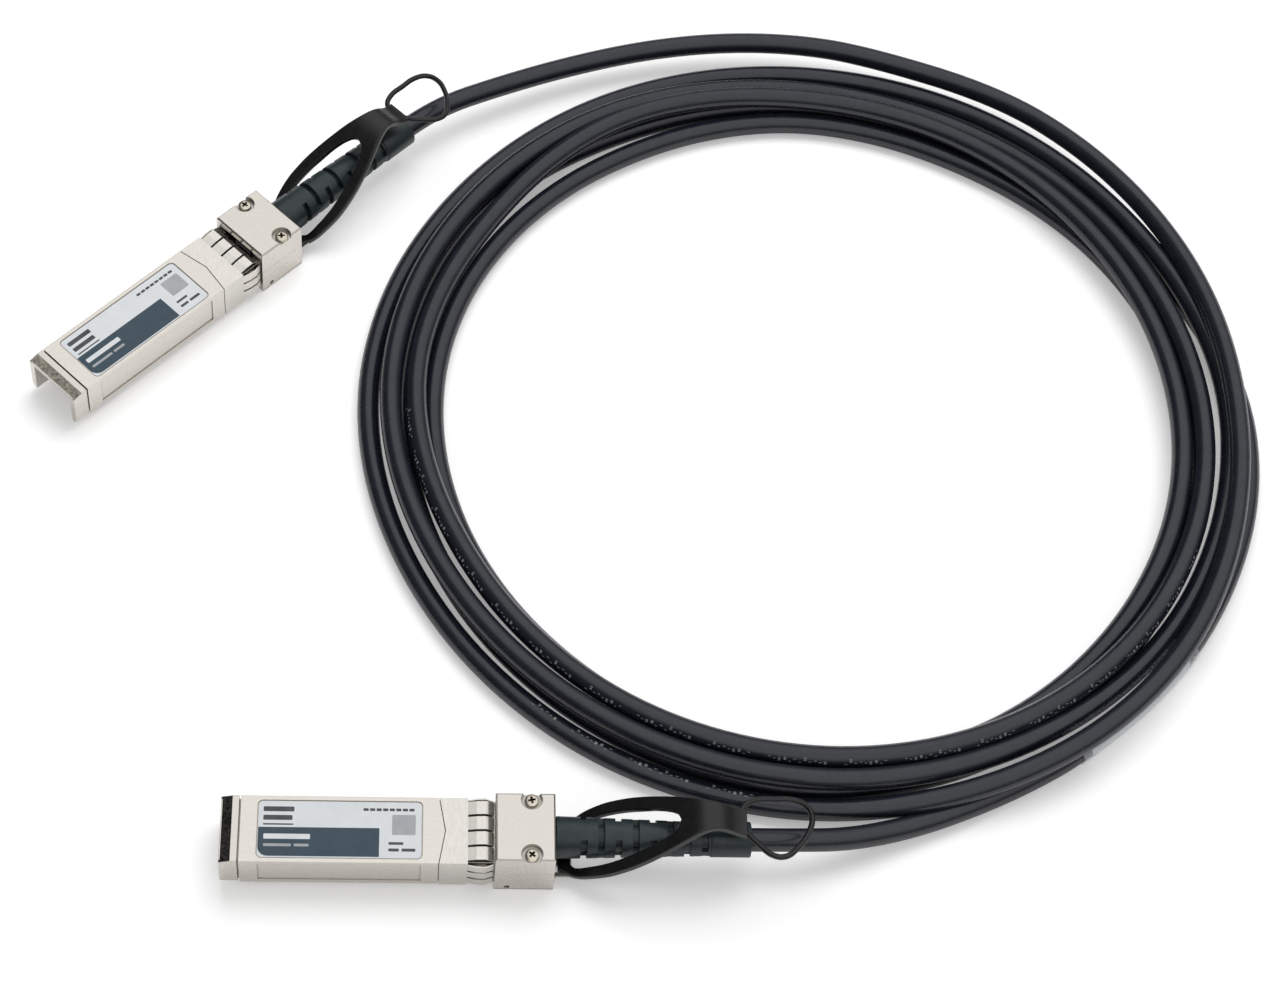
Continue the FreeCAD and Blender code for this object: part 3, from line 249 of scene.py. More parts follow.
# ---------------------------------------------------------------- label
# A white film label lies in the cover's recess. Fields of colour and plain bars stand where the
# real one is printed, each a thin flat shape a hair above the film.
def plastic(name, dark, light, roughness, grain_scale, depth, rounded=0.0):
    """A moulded or printed finish with a fine grain, a drifting tone and uneven gloss."""
    material, tree, shader = new_material(name, light, roughness)
    where = place(tree)
    tone = tint(tree, noise(tree, where, grain_scale / 8), dark, light)
    join(tree, tone, shader.inputs["Base Color"])
    patches = noise(tree, where, grain_scale / 3)
    gloss = spread(tree, patches, roughness - 0.05, roughness + 0.05)
    join(tree, gloss, shader.inputs["Roughness"])
    relief(tree, shader, noise(tree, where, grain_scale, 3), depth, rounded)
    return material


label_film = plastic("label_film", (0.71, 0.735, 0.76), (0.76, 0.785, 0.81), 0.38, 3000, 0.000003)
band_ink = plastic("band_ink", (0.028, 0.054, 0.076), (0.034, 0.063, 0.088), 0.36, 3000, 0.000002)
dark_ink = plastic("dark_ink", (0.05, 0.055, 0.06), (0.08, 0.085, 0.09), 0.45, 3000, 0.000002)
grey_ink = plastic("grey_ink", (0.36, 0.38, 0.40), (0.42, 0.44, 0.46), 0.45, 3000, 0.000002)
coat(label_film, "label")


def bar_outline(left, right, bottom, top, corners):
    """A rectangle's outline; corners gives the rounding at lower left, lower right and the top."""
    outline = []
    spots = ((left, bottom, corners[0], 180), (right, bottom, corners[1], 270),
             (right, top, corners[2], 0), (left, top, corners[2], 90))
    for x, y, rounding, start in spots:
        middle_x = x + (rounding if x == left else -rounding)
        middle_y = y + (rounding if y == bottom else -rounding)
        for step in range(7):
            angle = math.radians(start + 15 * step)
            outline.append((middle_x + rounding * math.cos(angle),
                            middle_y + rounding * math.sin(angle)))
    return outline


ink_height = 0.00001
ink_sunk = 0.00001


def printed(end, name, fields, material, layers=1):
    """Thin flat fields, in millimetres on the plug, so many layers of ink above the label."""
    mesh = bmesh.new()
    height = layers * ink_height
    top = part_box(end + "_label")[1][2] + height
    for field in fields:
        verts = [mesh.verts.new(plug_axes[end] @ Vector((x / 1000, y / 1000, top)))
                 for x, y in bar_outline(*field)]
        draw_out(mesh, mesh.faces.new(verts), (0, 0, -height - ink_sunk))
    bmesh.ops.remove_doubles(mesh, verts=mesh.verts, dist=1e-7)
    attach(set_down(mesh, f"{end}_{name}", material), "shells_and_cable")


# each field: left, right, bottom, top and the rounding of its corners, in millimetres
bold = (0.18, 0.18, 0.18)
fine = (0.1, 0.1, 0.1)
thin = (0.05, 0.05, 0.05)
band = [(6.95, 29.0, -5.45, 0.4, (1.8, 0.05, 0.05))]
line_on_band = [(7.95, 16.4, -2.0, -0.95, bold)]
small_line_on_band = [(7.95, 13.0, -3.5, -2.95, bold), (13.5, 16.2, -3.5, -2.95, bold)]
title = [(7.8, 13.4, 3.6, 4.6, bold), (7.8, 13.1, 1.85, 2.85, bold), (7.8, 13.3, 0.85, 1.15, thin)]
small_print = [(26.0 + 1.2 * step, 26.95 + 1.2 * step, 3.9, 4.45, fine) for step in range(8)]
small_print += [(30.7, 33.4, -2.95, -2.4, fine), (30.7, 32.6, -4.3, -3.7, fine),
                (33.1, 35.6, -4.3, -3.7, fine)]
square = [(31.3, 35.6, -0.95, 3.15, (0.25, 0.25, 0.25))]
for end in plug_axes:
    printed(end, "label_band", band, band_ink)
    printed(end, "label_lines_on_band", line_on_band, label_film, layers=2)
    printed(end, "label_small_line_on_band", small_line_on_band, grey_ink, layers=2)
    printed(end, "label_title", title, dark_ink)
    printed(end, "label_small_print", small_print, dark_ink)
    printed(end, "label_square", square, grey_ink)


# ---------------------------------------------------------------- circuit card
# The green card ends in gold contacts inside the open nose. A small memory chip and four coupling
# capacitors are soldered to it.
board_green = plastic("board_green", (0.010, 0.055, 0.028), (0.018, 0.085, 0.042), 0.35, 2500,
                      0.000004)
gold = metal("gold_plate", (0.78, 0.50, 0.16), (0.90, 0.62, 0.24), 0.24, 3000, 0.000002, 0.00002)
chip_black = plastic("chip_black", (0.012, 0.012, 0.013), (0.02, 0.02, 0.021), 0.5, 5000, 0.000004)
coat(board_green, "paddle_card")
coat(gold, "card_contacts")
coat(chip_black, "coupling_capacitors", "memory_chip")


# ---------------------------------------------------------------- cable core
# Two foil-wrapped pairs run from the card into the cable, whose braid is held by a crimped copper
# ferrule inside the backshell.
foil = metal("shield_foil", (0.52, 0.52, 0.53), (0.72, 0.72, 0.73), 0.36, 2200, 0.00001, 0.0)
copper = metal("ferrule_copper", (0.55, 0.44, 0.34), (0.68, 0.56, 0.44), 0.34, 3000,
               0.000006, 0.0001)
coat(foil, "signal_pairs")
coat(copper, "crimp_ferrule")


# ---------------------------------------------------------------- latch and slide
# The lever under the plug turns on a pin and is pushed back by a wound spring. The pull tab draws
# the slide, a strip of the same spring steel, and the slide draws the lever.
screw_steel = metal("screw_steel", (0.66, 0.60, 0.49), (0.80, 0.74, 0.63), 0.24, 5200,
                    0.000002, 0.00006)
coat(spring_steel, "latch_lever", "actuator_slide")
coat(screw_steel, "latch_pin", "latch_spring")


# ---------------------------------------------------------------- cover screws
# Two small screws hold the backshell's halves together. Each has a domed head with a cross recess
# and a ridged shank, and stands in the place of the plain one.
# the cross recesses are lined with a near-black steel: painted shade inside the recess
recess_painted_shade = metal("recess_painted_shade", (0.05, 0.042, 0.03), (0.11, 0.09, 0.06), 0.4, 5200,
                     0.000002, 0.0)
coat(screw_steel, "cover_screws")


def evaluated_mesh(piece):
    """The mesh of an object with its modifiers or its bevel applied."""
    return bpy.data.meshes.new_from_object(
        piece.evaluated_get(bpy.context.evaluated_depsgraph_get()))


def carve(piece, cutter, smooth):
    """Takes the cutter's shape out of the piece, and the cutter away."""
    taken = piece.modifiers.new("carve", "BOOLEAN")
    taken.operation = "DIFFERENCE"
    taken.solver = "EXACT"
    taken.material_mode = "TRANSFER"
    taken.object = cutter
    carved = evaluated_mesh(piece)
    piece.modifiers.clear()
    piece.data = carved
    carved.shade_smooth()
    carved.set_sharp_from_angle(angle=math.radians(smooth))
    bpy.data.objects.remove(cutter)


def turned(mesh, profile, steps, place_at, closed=False):
    """A profile of (along, radius) points spun a full turn about the local x axis."""
    verts = [mesh.verts.new(place_at @ Vector((along, radius, 0))) for along, radius in profile]
    edges = [mesh.edges.new(pair) for pair in zip(verts, verts[1:])]
    if closed:
        edges.append(mesh.edges.new((verts[-1], verts[0])))
    bmesh.ops.spin(mesh, geom=verts + edges, cent=place_at.translation,
                   axis=place_at.to_3x3() @ Vector((1, 0, 0)), angle=2 * math.pi, steps=steps,
                   use_merge=True)
    bmesh.ops.remove_doubles(mesh, verts=mesh.verts, dist=1e-7)


def cross_recess(mesh, place_at):
    """A cross-shaped plug that narrows downward, for the driver's recess."""
    arm, half_arm_width = 0.00048, 0.000145
    recess_floor, rise, flare = 0.0003, 0.0009, 1.83
    outline = []
    for quarter in range(4):
        spun = place_at @ Matrix.Rotation(math.radians(90 * quarter), 4, "X")
        outline += [spun @ Vector((recess_floor, arm, -half_arm_width)),
                    spun @ Vector((recess_floor, arm, half_arm_width)),
                    spun @ Vector((recess_floor, half_arm_width, half_arm_width))]
    face = mesh.faces.new([mesh.verts.new(corner) for corner in outline])
    top = draw_out(mesh, face, place_at.to_3x3() @ Vector((rise, 0, 0)))
    centre = place_at @ Vector((recess_floor + rise, 0, 0))
    bmesh.ops.scale(mesh, verts=top, vec=(flare, flare, flare), space=Matrix.Translation(-centre))


# the screw's outline as (height over its seat, radius)
thread_root, thread_crest, thread_pitch = 0.00055, 0.0007, 0.0005
shank = [(-0.0074, 0), (-0.0074, 0.0002), (-0.0070, thread_root)]
for step in range(12):
    shank += [(-0.0068 + thread_pitch * step, thread_root),
              (-0.00655 + thread_pitch * step, thread_crest)]
head = [(-0.0002, thread_crest), (0.0, 0.00069), (0.00001, 0.0013), (0.00045, 0.0013),
        (0.0006, 0.00125), (0.00072, 0.00108), (0.00079, 0.0007), (0.0008, 0.0003), (0.0008, 0)]
screw_row, screw_side, screw_seat = 0.05684, 0.00555, 0.011
for end in plug_axes:
    screws = bmesh.new()
    recesses = bmesh.new()
    for side, tilt in ((screw_side, 12), (-screw_side, 50)):
        seat = plug_axes[end] @ Matrix.Translation((screw_row, side, screw_seat))
        upright = seat @ Matrix.Rotation(math.radians(-90), 4, "Y")
        turned(screws, shank + head, 40, upright)
        cross_recess(recesses, upright @ Matrix.Rotation(math.radians(tilt), 4, "X"))
    screw_piece = finished(screws, end + "_screws", screw_steel)
    carve(screw_piece, finished(recesses, end + "_cross", recess_painted_shade), 30)
    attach(screw_piece, "shells_and_cable")
    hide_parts(end + "_cover_screws")


# ---------------------------------------------------------------- cable
# One length of 4.4 mm twin-axial cable in a black jacket, from boot to boot: the near lead, five
# and two thirds loose turns, and the far lead. Each turn starts at its nine o'clock and runs
# anticlockwise in twelve steps.
cable_jacket = plastic("cable_jacket", (0.0082, 0.0099, 0.0164), (0.0121, 0.0143, 0.0233), 0.25,
                       3000, 0.000006)
jacket_shader = cable_jacket.node_tree.nodes["Principled BSDF"]
jacket_shader.inputs["Specular IOR Level"].default_value = 0.65
coat(cable_jacket, "cable_end", "lead")
coat_node(cable_jacket, "cable_coil")
# the near lead in the part's axes, and the far lead from the end of its boot
near_lead = [
    (0.0418, 0, 0.0076), (0.0498, 0, 0.0076), (0.0608, 0.0016, 0.0050), (0.0728, 0.0054, 0.0026),
    (0.0848, 0.0101, 0.00225), (0.0963, 0.0156, 0.00225),
]
far_lead = [
    (0.0, 0.0, 0.0076), (0.009, 0.0, 0.0076), (0.025, -0.0046, 0.0064), (0.041, -0.0107, 0.0057),
    (0.056, -0.0186, 0.0058), (0.0693, -0.0281, 0.0060), (0.0809, -0.0393, 0.0061),
    (0.0902, -0.0520, 0.0061),
]
coil_middle_x = 0.0596
coil_middle_y = 0.1058
coil_middle = Vector((coil_middle_x, coil_middle_y, 0))
# Each strand every thirty degrees, in millimetres: the radius about the coil's middle that the
# camera sees it at, the height that this radius holds for, and the height that the strand lies at.
low = 2.2                       # a strand on the table
high = 6.2                      # a strand on another
loose_start = [
    (95.6, 2.8, 2.8), (92.9, 2.7, 2.7), (90.6, low, low), (82.0, low, low), (76.2, low, low),
    (76.6, low, low), (77.0, low, low), (81.5, low, low),
]
inner_turn = [
    (83.6, low, low), (87.2, low, low), (91.0, low, low), (92.4, low, low), (87.9, low, low),
    (82.3, low, low), (79.0, low, low), (75.3, low, low), (71.7, low, low), (72.0, low, low),
    (71.2, low, low), (73.6, low, low),
]
second_turn = [
    (77.2, low, 2.4), (80.8, low, low), (84.3, low, low), (87.5, low, low), (83.5, low, low),
    (79.1, low, 5.6), (75.8, high, 5.9), (74.3, high, 6.6), (74.7, high, 6.4), (75.4, high, 6.6),
    (78.0, high, 7.4), (78.2, low, 5.1),
]
third_turn = [
    (80.9, low, 5.9), (81.4, low, 6.6), (84.3, low, 6.6), (85.4, low, 6.6), (85.1, low, 6.6),
    (83.4, low, 6.5), (81.8, low, 6.4), (81.0, low, 6.6), (80.5, low, 2.4), (81.2, low, 3.4),
    (83.3, low, 5.9), (84.2, low, 6.2),
]
fourth_turn = [
    (86.0, low, 6.1), (87.0, low, 6.6), (89.2, low, 6.7), (90.2, low, 6.7), (89.4, low, 4.8),
    (88.4, low, 2.3), (88.0, low, 5.6), (86.0, low, 5.0), (85.9, low, low), (85.5, low, low),
    (85.9, low, low), (87.1, low, low),
]
outer_turn = [
    (90.5, low, low), (93.0, low, low), (96.1, low, low), (96.7, low, 2.8), (96.6, 7.8, 7.8),
    (91.6, 6.6, 6.6), (88.1, high, 9.8), (89.0, high, 7.4), (90.0, high, 5.6),
]
coil_start = math.radians(300)
half_step = math.radians(15)


def radius_at(height, seen_radius, seen_height, angle):
    """Radius of a strand at its own height, on the camera's line through where it is seen."""
    camera_x, camera_y, camera_height = (1000 * place for place in camera_spot)
    seen_x = 1000 * coil_middle_x + seen_radius * math.cos(angle)
    seen_y = 1000 * coil_middle_y + seen_radius * math.sin(angle)
    along = (height - seen_height) / (camera_height - seen_height)
    x = seen_x + (camera_x - seen_x) * along - 1000 * coil_middle_x
    y = seen_y + (camera_y - seen_y) * along - 1000 * coil_middle_y
    return round(math.hypot(x, y), 1)


stations = []
seen_turns = loose_start + inner_turn + second_turn + third_turn + fourth_turn + outer_turn
for step, (seen_radius, seen_height, height) in enumerate(seen_turns):
    angle = coil_start + step * 2 * half_step
    stations.append((radius_at(height, seen_radius, seen_height, angle), height))
coil = []
# a point is put midway between each two stations, on a smooth curve through the four nearest
for place_in_coil, (radius, height) in enumerate(stations):
    angle = coil_start + place_in_coil * 2 * half_step
    coil.append((angle, radius, height))
    if 0 < place_in_coil < len(stations) - 2:
        (r0, h0), (r1, h1), (r2, h2), (r3, h3) = stations[place_in_coil - 1:place_in_coil + 3]
        coil.append((angle + half_step, (9 * (r1 + r2) - r0 - r3) / 16,
                     (9 * (h1 + h2) - h0 - h3) / 16))
    elif place_in_coil < len(stations) - 1:
        radius_after, height_after = stations[place_in_coil + 1]
        coil.append((angle + half_step, (radius + radius_after) / 2, (height + height_after) / 2))
# a quadratic spline runs a little inside the points that lead it round
outward = 1 / (0.75 + 0.25 * math.cos(half_step))
route = [Vector(point) for point in near_lead]
for angle, radius, height in coil:
    reach = radius * outward / 1000
    away = Vector((reach * math.cos(angle), reach * math.sin(angle), height / 1000))
    route.append(coil_middle + away)
boot_end = 0.0975
far_boot_end = plug_axes["far"] @ Matrix.Translation((boot_end, 0, 0))
route += [far_boot_end @ Vector(point) for point in reversed(far_lead)]

cable_radius = 0.0022
cable_line = bpy.data.curves.new("cable", "CURVE")
cable_line.dimensions = "3D"
spline = cable_line.splines.new("NURBS")
spline.points.add(len(route) - 1)
for point, position in zip(spline.points, route):
    point.co = (*position, 1)
spline.order_u = 3
spline.use_endpoint_u = True
spline.resolution_u = 8
cable_line.bevel_depth = cable_radius
cable_line.bevel_resolution = 6
cable = bpy.data.objects.new("cable", cable_line)
scene.collection.objects.link(cable)
cable_line.materials.append(cable_jacket)
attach(cable, "shells_and_cable")
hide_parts("near_lead", "far_lead", "cable_coil")


def mesh_of(line):
    """The mesh that a curve makes, as a bmesh; the curve itself is taken away."""
    rod = bpy.data.objects.new("rod", line)
    scene.collection.objects.link(rod)
    drawn = evaluated_mesh(rod)
    bpy.data.objects.remove(rod)
    bpy.data.curves.remove(line)
    mesh = bmesh.new()
    mesh.from_mesh(drawn)
    bpy.data.meshes.remove(drawn)
    return mesh


middle_line = cable_line.copy()
middle_line.bevel_depth = 0
traced = mesh_of(middle_line)
cable_points = [vert.co.copy() for vert in traced.verts]
traced.free()


# ---------------------------------------------------------------- marker sleeve and cable print
# A clear sleeve rides on the strand that leaves the near plug, with a white paper strip rolled
# inside it; plain light dashes stand for the print along the cable.
clear_film, clear_tree, clear_shader = new_material("clear_film", (0.9, 0.92, 0.94), 0.18)
clear_shader.inputs["Alpha"].default_value = 0.2
relief(clear_tree, clear_shader, noise(clear_tree, place(clear_tree), 900), 0.00002)
paper = plastic("marker_paper", (0.74, 0.76, 0.78), (0.82, 0.84, 0.86), 0.6, 4000, 0.000004)
print_grey = plastic("cable_print_ink", (0.20, 0.21, 0.22), (0.26, 0.27, 0.28), 0.5, 3000, 0.000002)
coat_node(clear_film, "label_sleeve")


def round_cable(spot, angle, radius):
    """Point round the cable at one of its traced points; angle 0 faces out of the coil."""
    middle = cable_points[spot]
    forward = (cable_points[spot + 1] - cable_points[spot - 1]).normalized()
    outward_side = Vector((middle.x - coil_middle.x, middle.y - coil_middle.y, 0))
    outward_side = (outward_side - forward * outward_side.dot(forward)).normalized()
    upward = outward_side.cross(forward)
    if upward.z < 0:
        upward = -upward
    return middle + (outward_side * math.cos(angle) + upward * math.sin(angle)) * radius


def turn_angle(spot):
    """Degrees round the coil's middle at a traced point."""
    away = cable_points[spot] - coil_middle
    return math.degrees(math.atan2(away.y, away.x)) % 360


def film_tube(spots, radius, wall, name, material):
    """Film round the cable along the given traced points: a bevelled line that is given a wall."""
    line = bpy.data.curves.new(name, "CURVE")
    line.dimensions = "3D"
    run = line.splines.new("POLY")
    run.points.add(len(spots) - 1)
    for point, spot in zip(run.points, spots):
        point.co = (*cable_points[spot], 1)
    line.bevel_depth = radius
    line.bevel_resolution = 7
    film = mesh_of(line)
    bmesh.ops.solidify(film, geom=film.faces[:], thickness=wall)
    piece = finished(film, name, material, 60)
    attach(piece, "shells_and_cable")
    return piece


def spots_between(first, last, from_angle, to_angle):
    """The traced points of one turn that lie between two angles round the coil."""
    return [spot for spot in range(first, last) if from_angle < turn_angle(spot) < to_angle]


sleeve_radius, sleeve_wall = 0.00256, 0.0001
strip_radius, strip_wall = 0.0023, 0.00008
sleeve_spots = spots_between(20, 120, 298.8, 321.5)
sleeve_piece = film_tube(sleeve_spots, sleeve_radius, sleeve_wall, "marker_sleeve", clear_film)
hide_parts("label_sleeve")
film_tube(sleeve_spots[1:-1], strip_radius, strip_wall, "marker_strip", paper)

# three dashes to a traced point, with a gap after every three or four points; the places and the
# widths of the dashes are in degrees round the cable, and a lift turns them upward
ink_radius = 0.002206
ink_depth = 0.00005
dash_spacing, dash_length = 0.32, 0.17
dash_places, dash_widths = (22, 36, 29), (4, 4, 16)
third_turn_spots = [(spot, 0) for spot in spots_between(520, 700, 186, 331)]
outer_turn_spots = [(spot, 66) for spot in spots_between(940, 1010, 232, 262)]
dashes = bmesh.new()
for count, (spot, lift) in enumerate(third_turn_spots + outer_turn_spots):
    if count % 9 in (3, 8):
        continue
    for stroke in range(3):
        low = math.radians(dash_places[(count + stroke) % 3] + lift)
        high = low + math.radians(dash_widths[(count + 2 * stroke) % 3])
        start = 0.05 + dash_spacing * stroke
        finish = start + dash_length
        corners = []
        for share, angle in ((start, low), (finish, low), (finish, high), (start, high)):
            here = round_cable(spot, angle, ink_radius)
            there = round_cable(spot + 1, angle, ink_radius)
            corners.append(here.lerp(there, share))
        face = dashes.faces.new([dashes.verts.new(corner) for corner in corners])
        draw_out(dashes, face, (cable_points[spot] - corners[0]).normalized() * ink_depth)
dash_piece = finished(dashes, "cable_print", print_grey, 20)
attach(dash_piece, "shells_and_cable")


# ---------------------------------------------------------------- strain relief boots
# A boot of soft rubber is moulded over each cable end: a smooth taper with eight pairs of flex
# slots and a plain cuff, and a square flange that sits in the backshell.
boot_rubber = plastic("boot_rubber", (0.0135, 0.0225, 0.0250), (0.0200, 0.0315, 0.0345), 0.38, 3600,
                      0.000008, 0.0001)
coat(boot_rubber, "strain_relief_boot")


def slot_plug(mesh, position, facing, reach, place_at):
    """A slice of a ring that faces one way round the axis: a small square spun part of a turn."""
    core, outer, width = 0.00245, 0.0052, 0.0012
    start = place_at @ Matrix.Rotation(math.radians(facing - reach), 4, "X")
    square = ((position, core), (position + width, core),
              (position + width, outer), (position, outer))
    face = mesh.faces.new([mesh.verts.new(start @ Vector((along, radius, 0)))
                           for along, radius in square])
    bmesh.ops.spin(mesh, geom=[face, *face.edges, *face.verts], cent=place_at.translation,
                   axis=place_at.to_3x3() @ Vector((1, 0, 0)), angle=math.radians(2 * reach),
                   steps=16)


cable_height = 0.0076
# the boot's outline from the flange to the cuff as (distance from the nose, radius)
boot_outline = [
    (0.0599, 0.00225), (0.0599, 0.00272), (0.0613, 0.00272), (0.0613, 0.0037),
    (0.06138, 0.00388), (0.0616, 0.00394), (0.0734, 0.0036), (0.0826, 0.00332),
    (0.0896, 0.00311), (0.08999, 0.00310), (0.0900, 0.0032), (0.0901, 0.0033),
    (0.09732, 0.0033), (0.09745, 0.00324), (boot_end, 0.0031), (boot_end, 0.00225),
]
first_slot, slot_spacing = 0.0659, 0.0032
# degrees that a slot reaches to each side of the way it faces
narrow_reach, wide_reach = 57, 75
flange_middle = Matrix.Translation((0.05915, 0, 0))
flange_size = Matrix.Diagonal((0.0014, 0.0068, 0.0068, 1))
for end in plug_axes:
    axis = plug_axes[end] @ Matrix.Translation((0, 0, cable_height))
    boot = bmesh.new()
    turned(boot, boot_outline, 72, axis, closed=True)
    slots = bmesh.new()
    for step in range(0, 8, 2):
        for facing in (0, 180):
            position = first_slot + slot_spacing * step
            slot_plug(slots, position, facing, narrow_reach, axis)
            slot_plug(slots, position + slot_spacing, facing + 90, wide_reach, axis)
    boot_piece = finished(boot, end + "_boot", boot_rubber)
    carve(boot_piece, finished(slots, end + "_slots", boot_rubber), 35)
    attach(boot_piece, "shells_and_cable")
    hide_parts(end + "_strain_relief_boot")

    flange = bmesh.new()
    bmesh.ops.create_cube(flange, size=1, matrix=axis @ flange_middle @ flange_size)
    to_plug = plug_axes[end].inverted().to_3x3()
    edges_along = [edge for edge in flange.edges
                   if abs((to_plug @ (edge.verts[0].co - edge.verts[1].co)).x) > 0.001]
    bmesh.ops.bevel(flange, geom=edges_along, offset=0.0006, segments=5, profile=0.5,
                    affect="EDGES", material=-1)
    flange_piece = finished(flange, end + "_boot_flange", boot_rubber)
    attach(flange_piece, "shells_and_cable")


# ---------------------------------------------------------------- pull tabs
# One moulded wishbone: a bar behind the backshell, two bowed arms, a strap over the boot's end and
# a finger ring. A flat sheet is drawn to the outline, bent to its rise, given its thickness and
# rounded along every edge.
tab_plastic = plastic("tab_plastic", (0.0050, 0.0052, 0.0060), (0.0075, 0.0078, 0.0088), 0.25,
                      2800, 0.000003)
coat(tab_plastic, "pull_tab")


def along_curve(stations, x):
    """Value at x on a smooth curve through (x, value) stations."""
    if x <= stations[0][0]:
        return stations[0][1]
    for (x0, v0), (x1, v1), before, after in zip(stations, stations[1:],
                                                 [stations[0]] + stations,
                                                 stations[2:] + [stations[-1]]):
        if x <= x1:
            t = (x - x0) / (x1 - x0)
            m0 = (v1 - before[1]) / max(x1 - before[0], 1e-9) * (x1 - x0)
            m1 = (after[1] - v0) / max(after[0] - x0, 1e-9) * (x1 - x0)
            return ((2 * t ** 3 - 3 * t ** 2 + 1) * v0 + (t ** 3 - 2 * t ** 2 + t) * m0
                    + (3 * t ** 2 - 2 * t ** 3) * v1 + (t ** 3 - t ** 2) * m1)
    return stations[-1][1]


# half width outside and inside the arms, and height, by distance from the nose, in millimetres
tab_outside = [(61.9, 4.4), (64.6, 5.5), (67.5, 6.7), (71.0, 7.35), (74.0, 7.3), (77.0, 6.9),
               (81.0, 5.9), (84.0, 4.9), (86.0, 4.15), (88.0, 3.35), (90.0, 2.75), (92.3, 2.5),
               (94.4, 2.6), (96.8, 2.9)]
tab_inside = [(64.6, 3.3), (66.0, 4.3), (69.0, 5.0), (72.0, 5.1), (75.0, 4.75), (77.5, 4.2),
              (80.0, 3.6), (82.0, 2.85), (83.4, 2.0), (84.2, 1.15), (84.6, 0.0)]
tab_rise = [(61.9, 2.55), (64.0, 2.55), (65.6, 3.1), (68.4, 5.2), (75.0, 9.2), (81.0, 12.8),
            (85.6, 15.6), (88.6, 16.8), (90.6, 16.7), (93.2, 15.2), (95.4, 14.3), (96.8, 14.2)]
sheet_under_rise = 0.7


def tab_strip(mesh, place_at, start, end_at, columns, rows, edges_at):
    """A flat grid drawn out between its two edges and bent to the tab's rise."""
    for vert in bmesh.ops.create_grid(mesh, x_segments=columns, y_segments=rows, size=0.5)["verts"]:
        x = start + (end_at - start) * (vert.co.x + 0.5)
        low, high = edges_at(x)
        y = low + (high - low) * (vert.co.y + 0.5)
        z = along_curve(tab_rise, x) - sheet_under_rise
        vert.co = place_at @ Vector((x / 1000, y / 1000, z / 1000))


def whole_width(x):
    return -along_curve(tab_outside, x), along_curve(tab_outside, x)


def between_arms(x):
    return -along_curve(tab_inside, x), along_curve(tab_inside, x)


def left_arm(x):
    return along_curve(tab_inside, x), along_curve(tab_outside, x)


def right_arm(x):
    return -along_curve(tab_outside, x), -along_curve(tab_inside, x)


# the finger ring seen from above, in millimetres
ring_corners = [(98.0, 4.8), (101.6, 5.0), (105.2, 4.85), (107.5, 3.6), (108.3, 1.3),
                (107.5, -1.7), (105.3, -4.9), (103.1, -6.6), (100.9, -6.5), (98.4, -4.5),
                (96.0, -1.6), (95.1, 1.0), (95.7, 3.4)]
ring_height = 0.0142
ring_wire_radius = 0.00056
tab_thickness = 0.00145
tab_rounding = 0.00035
bar_start, arm_start, strap_start, strap_end = 61.95, 64.6, 84.6, 96.1
for end in plug_axes:
    tab = bmesh.new()
    for arm in (left_arm, right_arm):
        tab_strip(tab, plug_axes[end], bar_start, arm_start, 6, 5, arm)
        tab_strip(tab, plug_axes[end], arm_start, strap_start, 48, 5, arm)
    tab_strip(tab, plug_axes[end], bar_start, arm_start, 6, 8, between_arms)
    tab_strip(tab, plug_axes[end], strap_start, strap_end, 28, 10, whole_width)
    bmesh.ops.remove_doubles(tab, verts=tab.verts, dist=1e-6)
    tab.normal_update()
    bmesh.ops.solidify(tab, geom=tab.faces[:], thickness=-tab_thickness)
    bmesh.ops.recalc_face_normals(tab, faces=tab.faces)
    corner_edges = [edge for edge in tab.edges if edge.calc_face_angle(0) > math.radians(50)]
    bmesh.ops.bevel(tab, geom=corner_edges, offset=tab_rounding, segments=4, profile=0.5,
                    affect="EDGES", material=-1, clamp_overlap=True)

    ring_line = bpy.data.curves.new(end + "_ring", "CURVE")
    ring_line.dimensions = "3D"
    ring_line.bevel_depth = ring_wire_radius
    ring_line.bevel_resolution = 4
    loop = ring_line.splines.new("BEZIER")
    loop.bezier_points.add(len(ring_corners) - 1)
    loop.use_cyclic_u = True
    loop.resolution_u = 8
    for knot, (x, y) in zip(loop.bezier_points, ring_corners):
        knot.co = plug_axes[end] @ Vector((x / 1000, y / 1000, ring_height))
        knot.handle_left_type = "AUTO"
        knot.handle_right_type = "AUTO"
    ring = mesh_of(ring_line)
    joined = bpy.data.meshes.new(end + "_ring")
    ring.to_mesh(joined)
    ring.free()
    tab.from_mesh(joined)
    bpy.data.meshes.remove(joined)
    tab_piece = finished(tab, end + "_tab", tab_plastic, 50)
    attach(tab_piece, end + "_pull")
    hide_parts(end + "_pull_tab")


# ---------------------------------------------------------------- floor and light
# A pale table under one broad light from above and behind. Reflections see a studio of their own:
# bright above, and dark to the left and at the horizon, so that the metal keeps its shading.
floor_glow_seen = 0.31
floor_glow_mirrored = 0.14
bpy.ops.mesh.primitive_plane_add(size=6, location=(0.05, 0.08, 0))
floor = bpy.context.object
floor.name = "floor"
floor_material, floor_tree, floor_shader = new_material("floor", (0.86, 0.86, 0.86), 0.8)
floor_shader.inputs["Specular IOR Level"].default_value = 0.0
floor.data.materials.append(floor_material)
ray = floor_tree.nodes.new("ShaderNodeLightPath")
glow = floor_tree.nodes.new("ShaderNodeEmission")
to_camera = floor_tree.nodes.new("ShaderNodeMath")
to_camera.operation = "MULTIPLY"
to_camera.inputs[1].default_value = floor_glow_seen
join(floor_tree, ray.outputs["Is Camera Ray"], to_camera.inputs[0])
strength = floor_tree.nodes.new("ShaderNodeMath")
strength.operation = "MULTIPLY_ADD"
strength.inputs[1].default_value = floor_glow_mirrored
join(floor_tree, ray.outputs["Is Glossy Ray"], strength.inputs[0])
join(floor_tree, to_camera.outputs[0], strength.inputs[2])
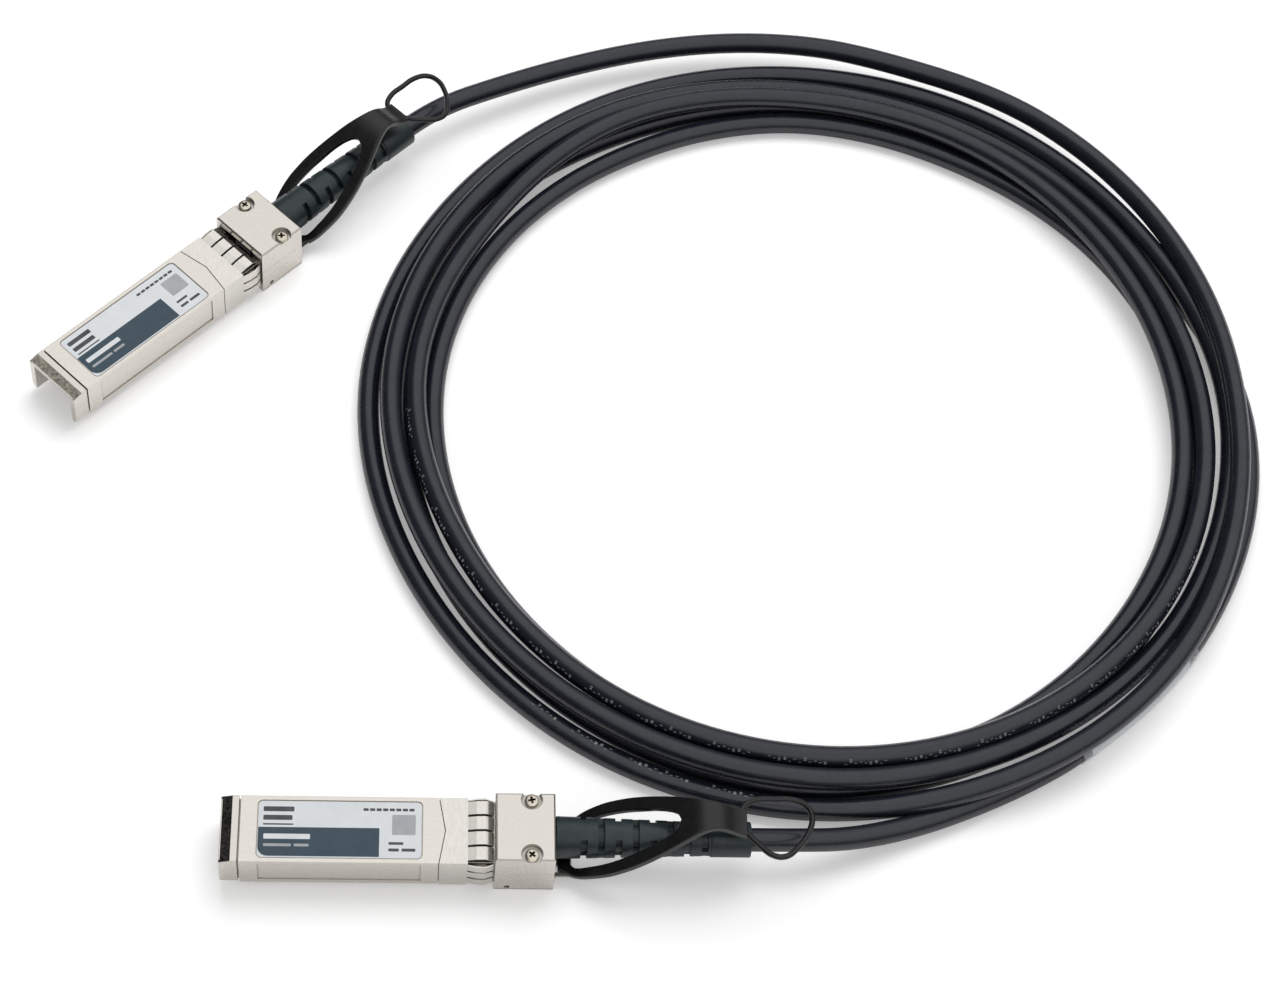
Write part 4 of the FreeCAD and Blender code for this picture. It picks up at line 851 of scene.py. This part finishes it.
join(floor_tree, strength.outputs[0], glow.inputs["Strength"])
added = floor_tree.nodes.new("ShaderNodeAddShader")
join(floor_tree, floor_shader.outputs["BSDF"], added.inputs[0])
join(floor_tree, glow.outputs["Emission"], added.inputs[1])
floor_output = floor_tree.nodes["Material Output"]
join(floor_tree, added.outputs["Shader"], floor_output.inputs["Surface"])

world = bpy.data.worlds.new("studio")
scene.world = world
world.use_nodes = True
sky = world.node_tree
direction = sky.nodes.new("ShaderNodeTexCoord")
parts = sky.nodes.new("ShaderNodeSeparateXYZ")
join(sky, direction.outputs["Generated"], parts.inputs[0])


def sky_step(value, low, high, dark, light):
    """Eases from dark to light as the value goes from low to high."""
    ranged = sky.nodes.new("ShaderNodeMapRange")
    ranged.interpolation_type = "SMOOTHSTEP"
    ranged.inputs["From Min"].default_value = low
    ranged.inputs["From Max"].default_value = high
    ranged.inputs["To Min"].default_value = dark
    ranged.inputs["To Max"].default_value = light
    join(sky, value, ranged.inputs["Value"])
    return ranged.outputs["Result"]


def sky_math(operation, first, second):
    node = sky.nodes.new("ShaderNodeMath")
    node.operation = operation
    join(sky, first, node.inputs[0])
    if isinstance(second, float):
        node.inputs[1].default_value = second
    else:
        join(sky, second, node.inputs[1])
    return node.outputs[0]


world_strength = 0.5
up = sky_math("MAXIMUM", parts.outputs["Z"], 0.05)
sideways = sky_math("DIVIDE", parts.outputs["X"], up)
above = sky_step(parts.outputs["Z"], 0.15, 0.75, 0.16, 1.0)
from_left = sky_step(sideways, -0.75, -0.25, 0.12, 1.0)
seen_in_gloss = sky_math("MULTIPLY", above, from_left)
lit = sky.nodes.new("ShaderNodeMix")
lit.data_type = "FLOAT"
lit.inputs["A"].default_value = world_strength
sky_ray = sky.nodes.new("ShaderNodeLightPath")
join(sky, sky_ray.outputs["Is Glossy Ray"], lit.inputs["Factor"])
join(sky, seen_in_gloss, lit.inputs["B"])
join(sky, lit.outputs["Result"], sky.nodes["Background"].inputs["Strength"])
sky.nodes["Background"].inputs["Color"].default_value = (1, 1, 1, 1)

key = bpy.data.lights.new("key_light", "AREA")
key.shape = "RECTANGLE"
key.size = 0.9
key.size_y = 0.7
key.energy = 7.0
key_lamp = bpy.data.objects.new("key_light", key)
key_lamp.location = (0.15, 0.55, 1.0)
aim = Vector((0.03, 0.08, 0)) - key_lamp.location
key_lamp.rotation_mode = "QUATERNION"
key_lamp.rotation_quaternion = aim.to_track_quat("-Z", "Y")
key_lamp.visible_glossy = False
scene.collection.objects.link(key_lamp)

scene.view_settings.view_transform = "Standard"
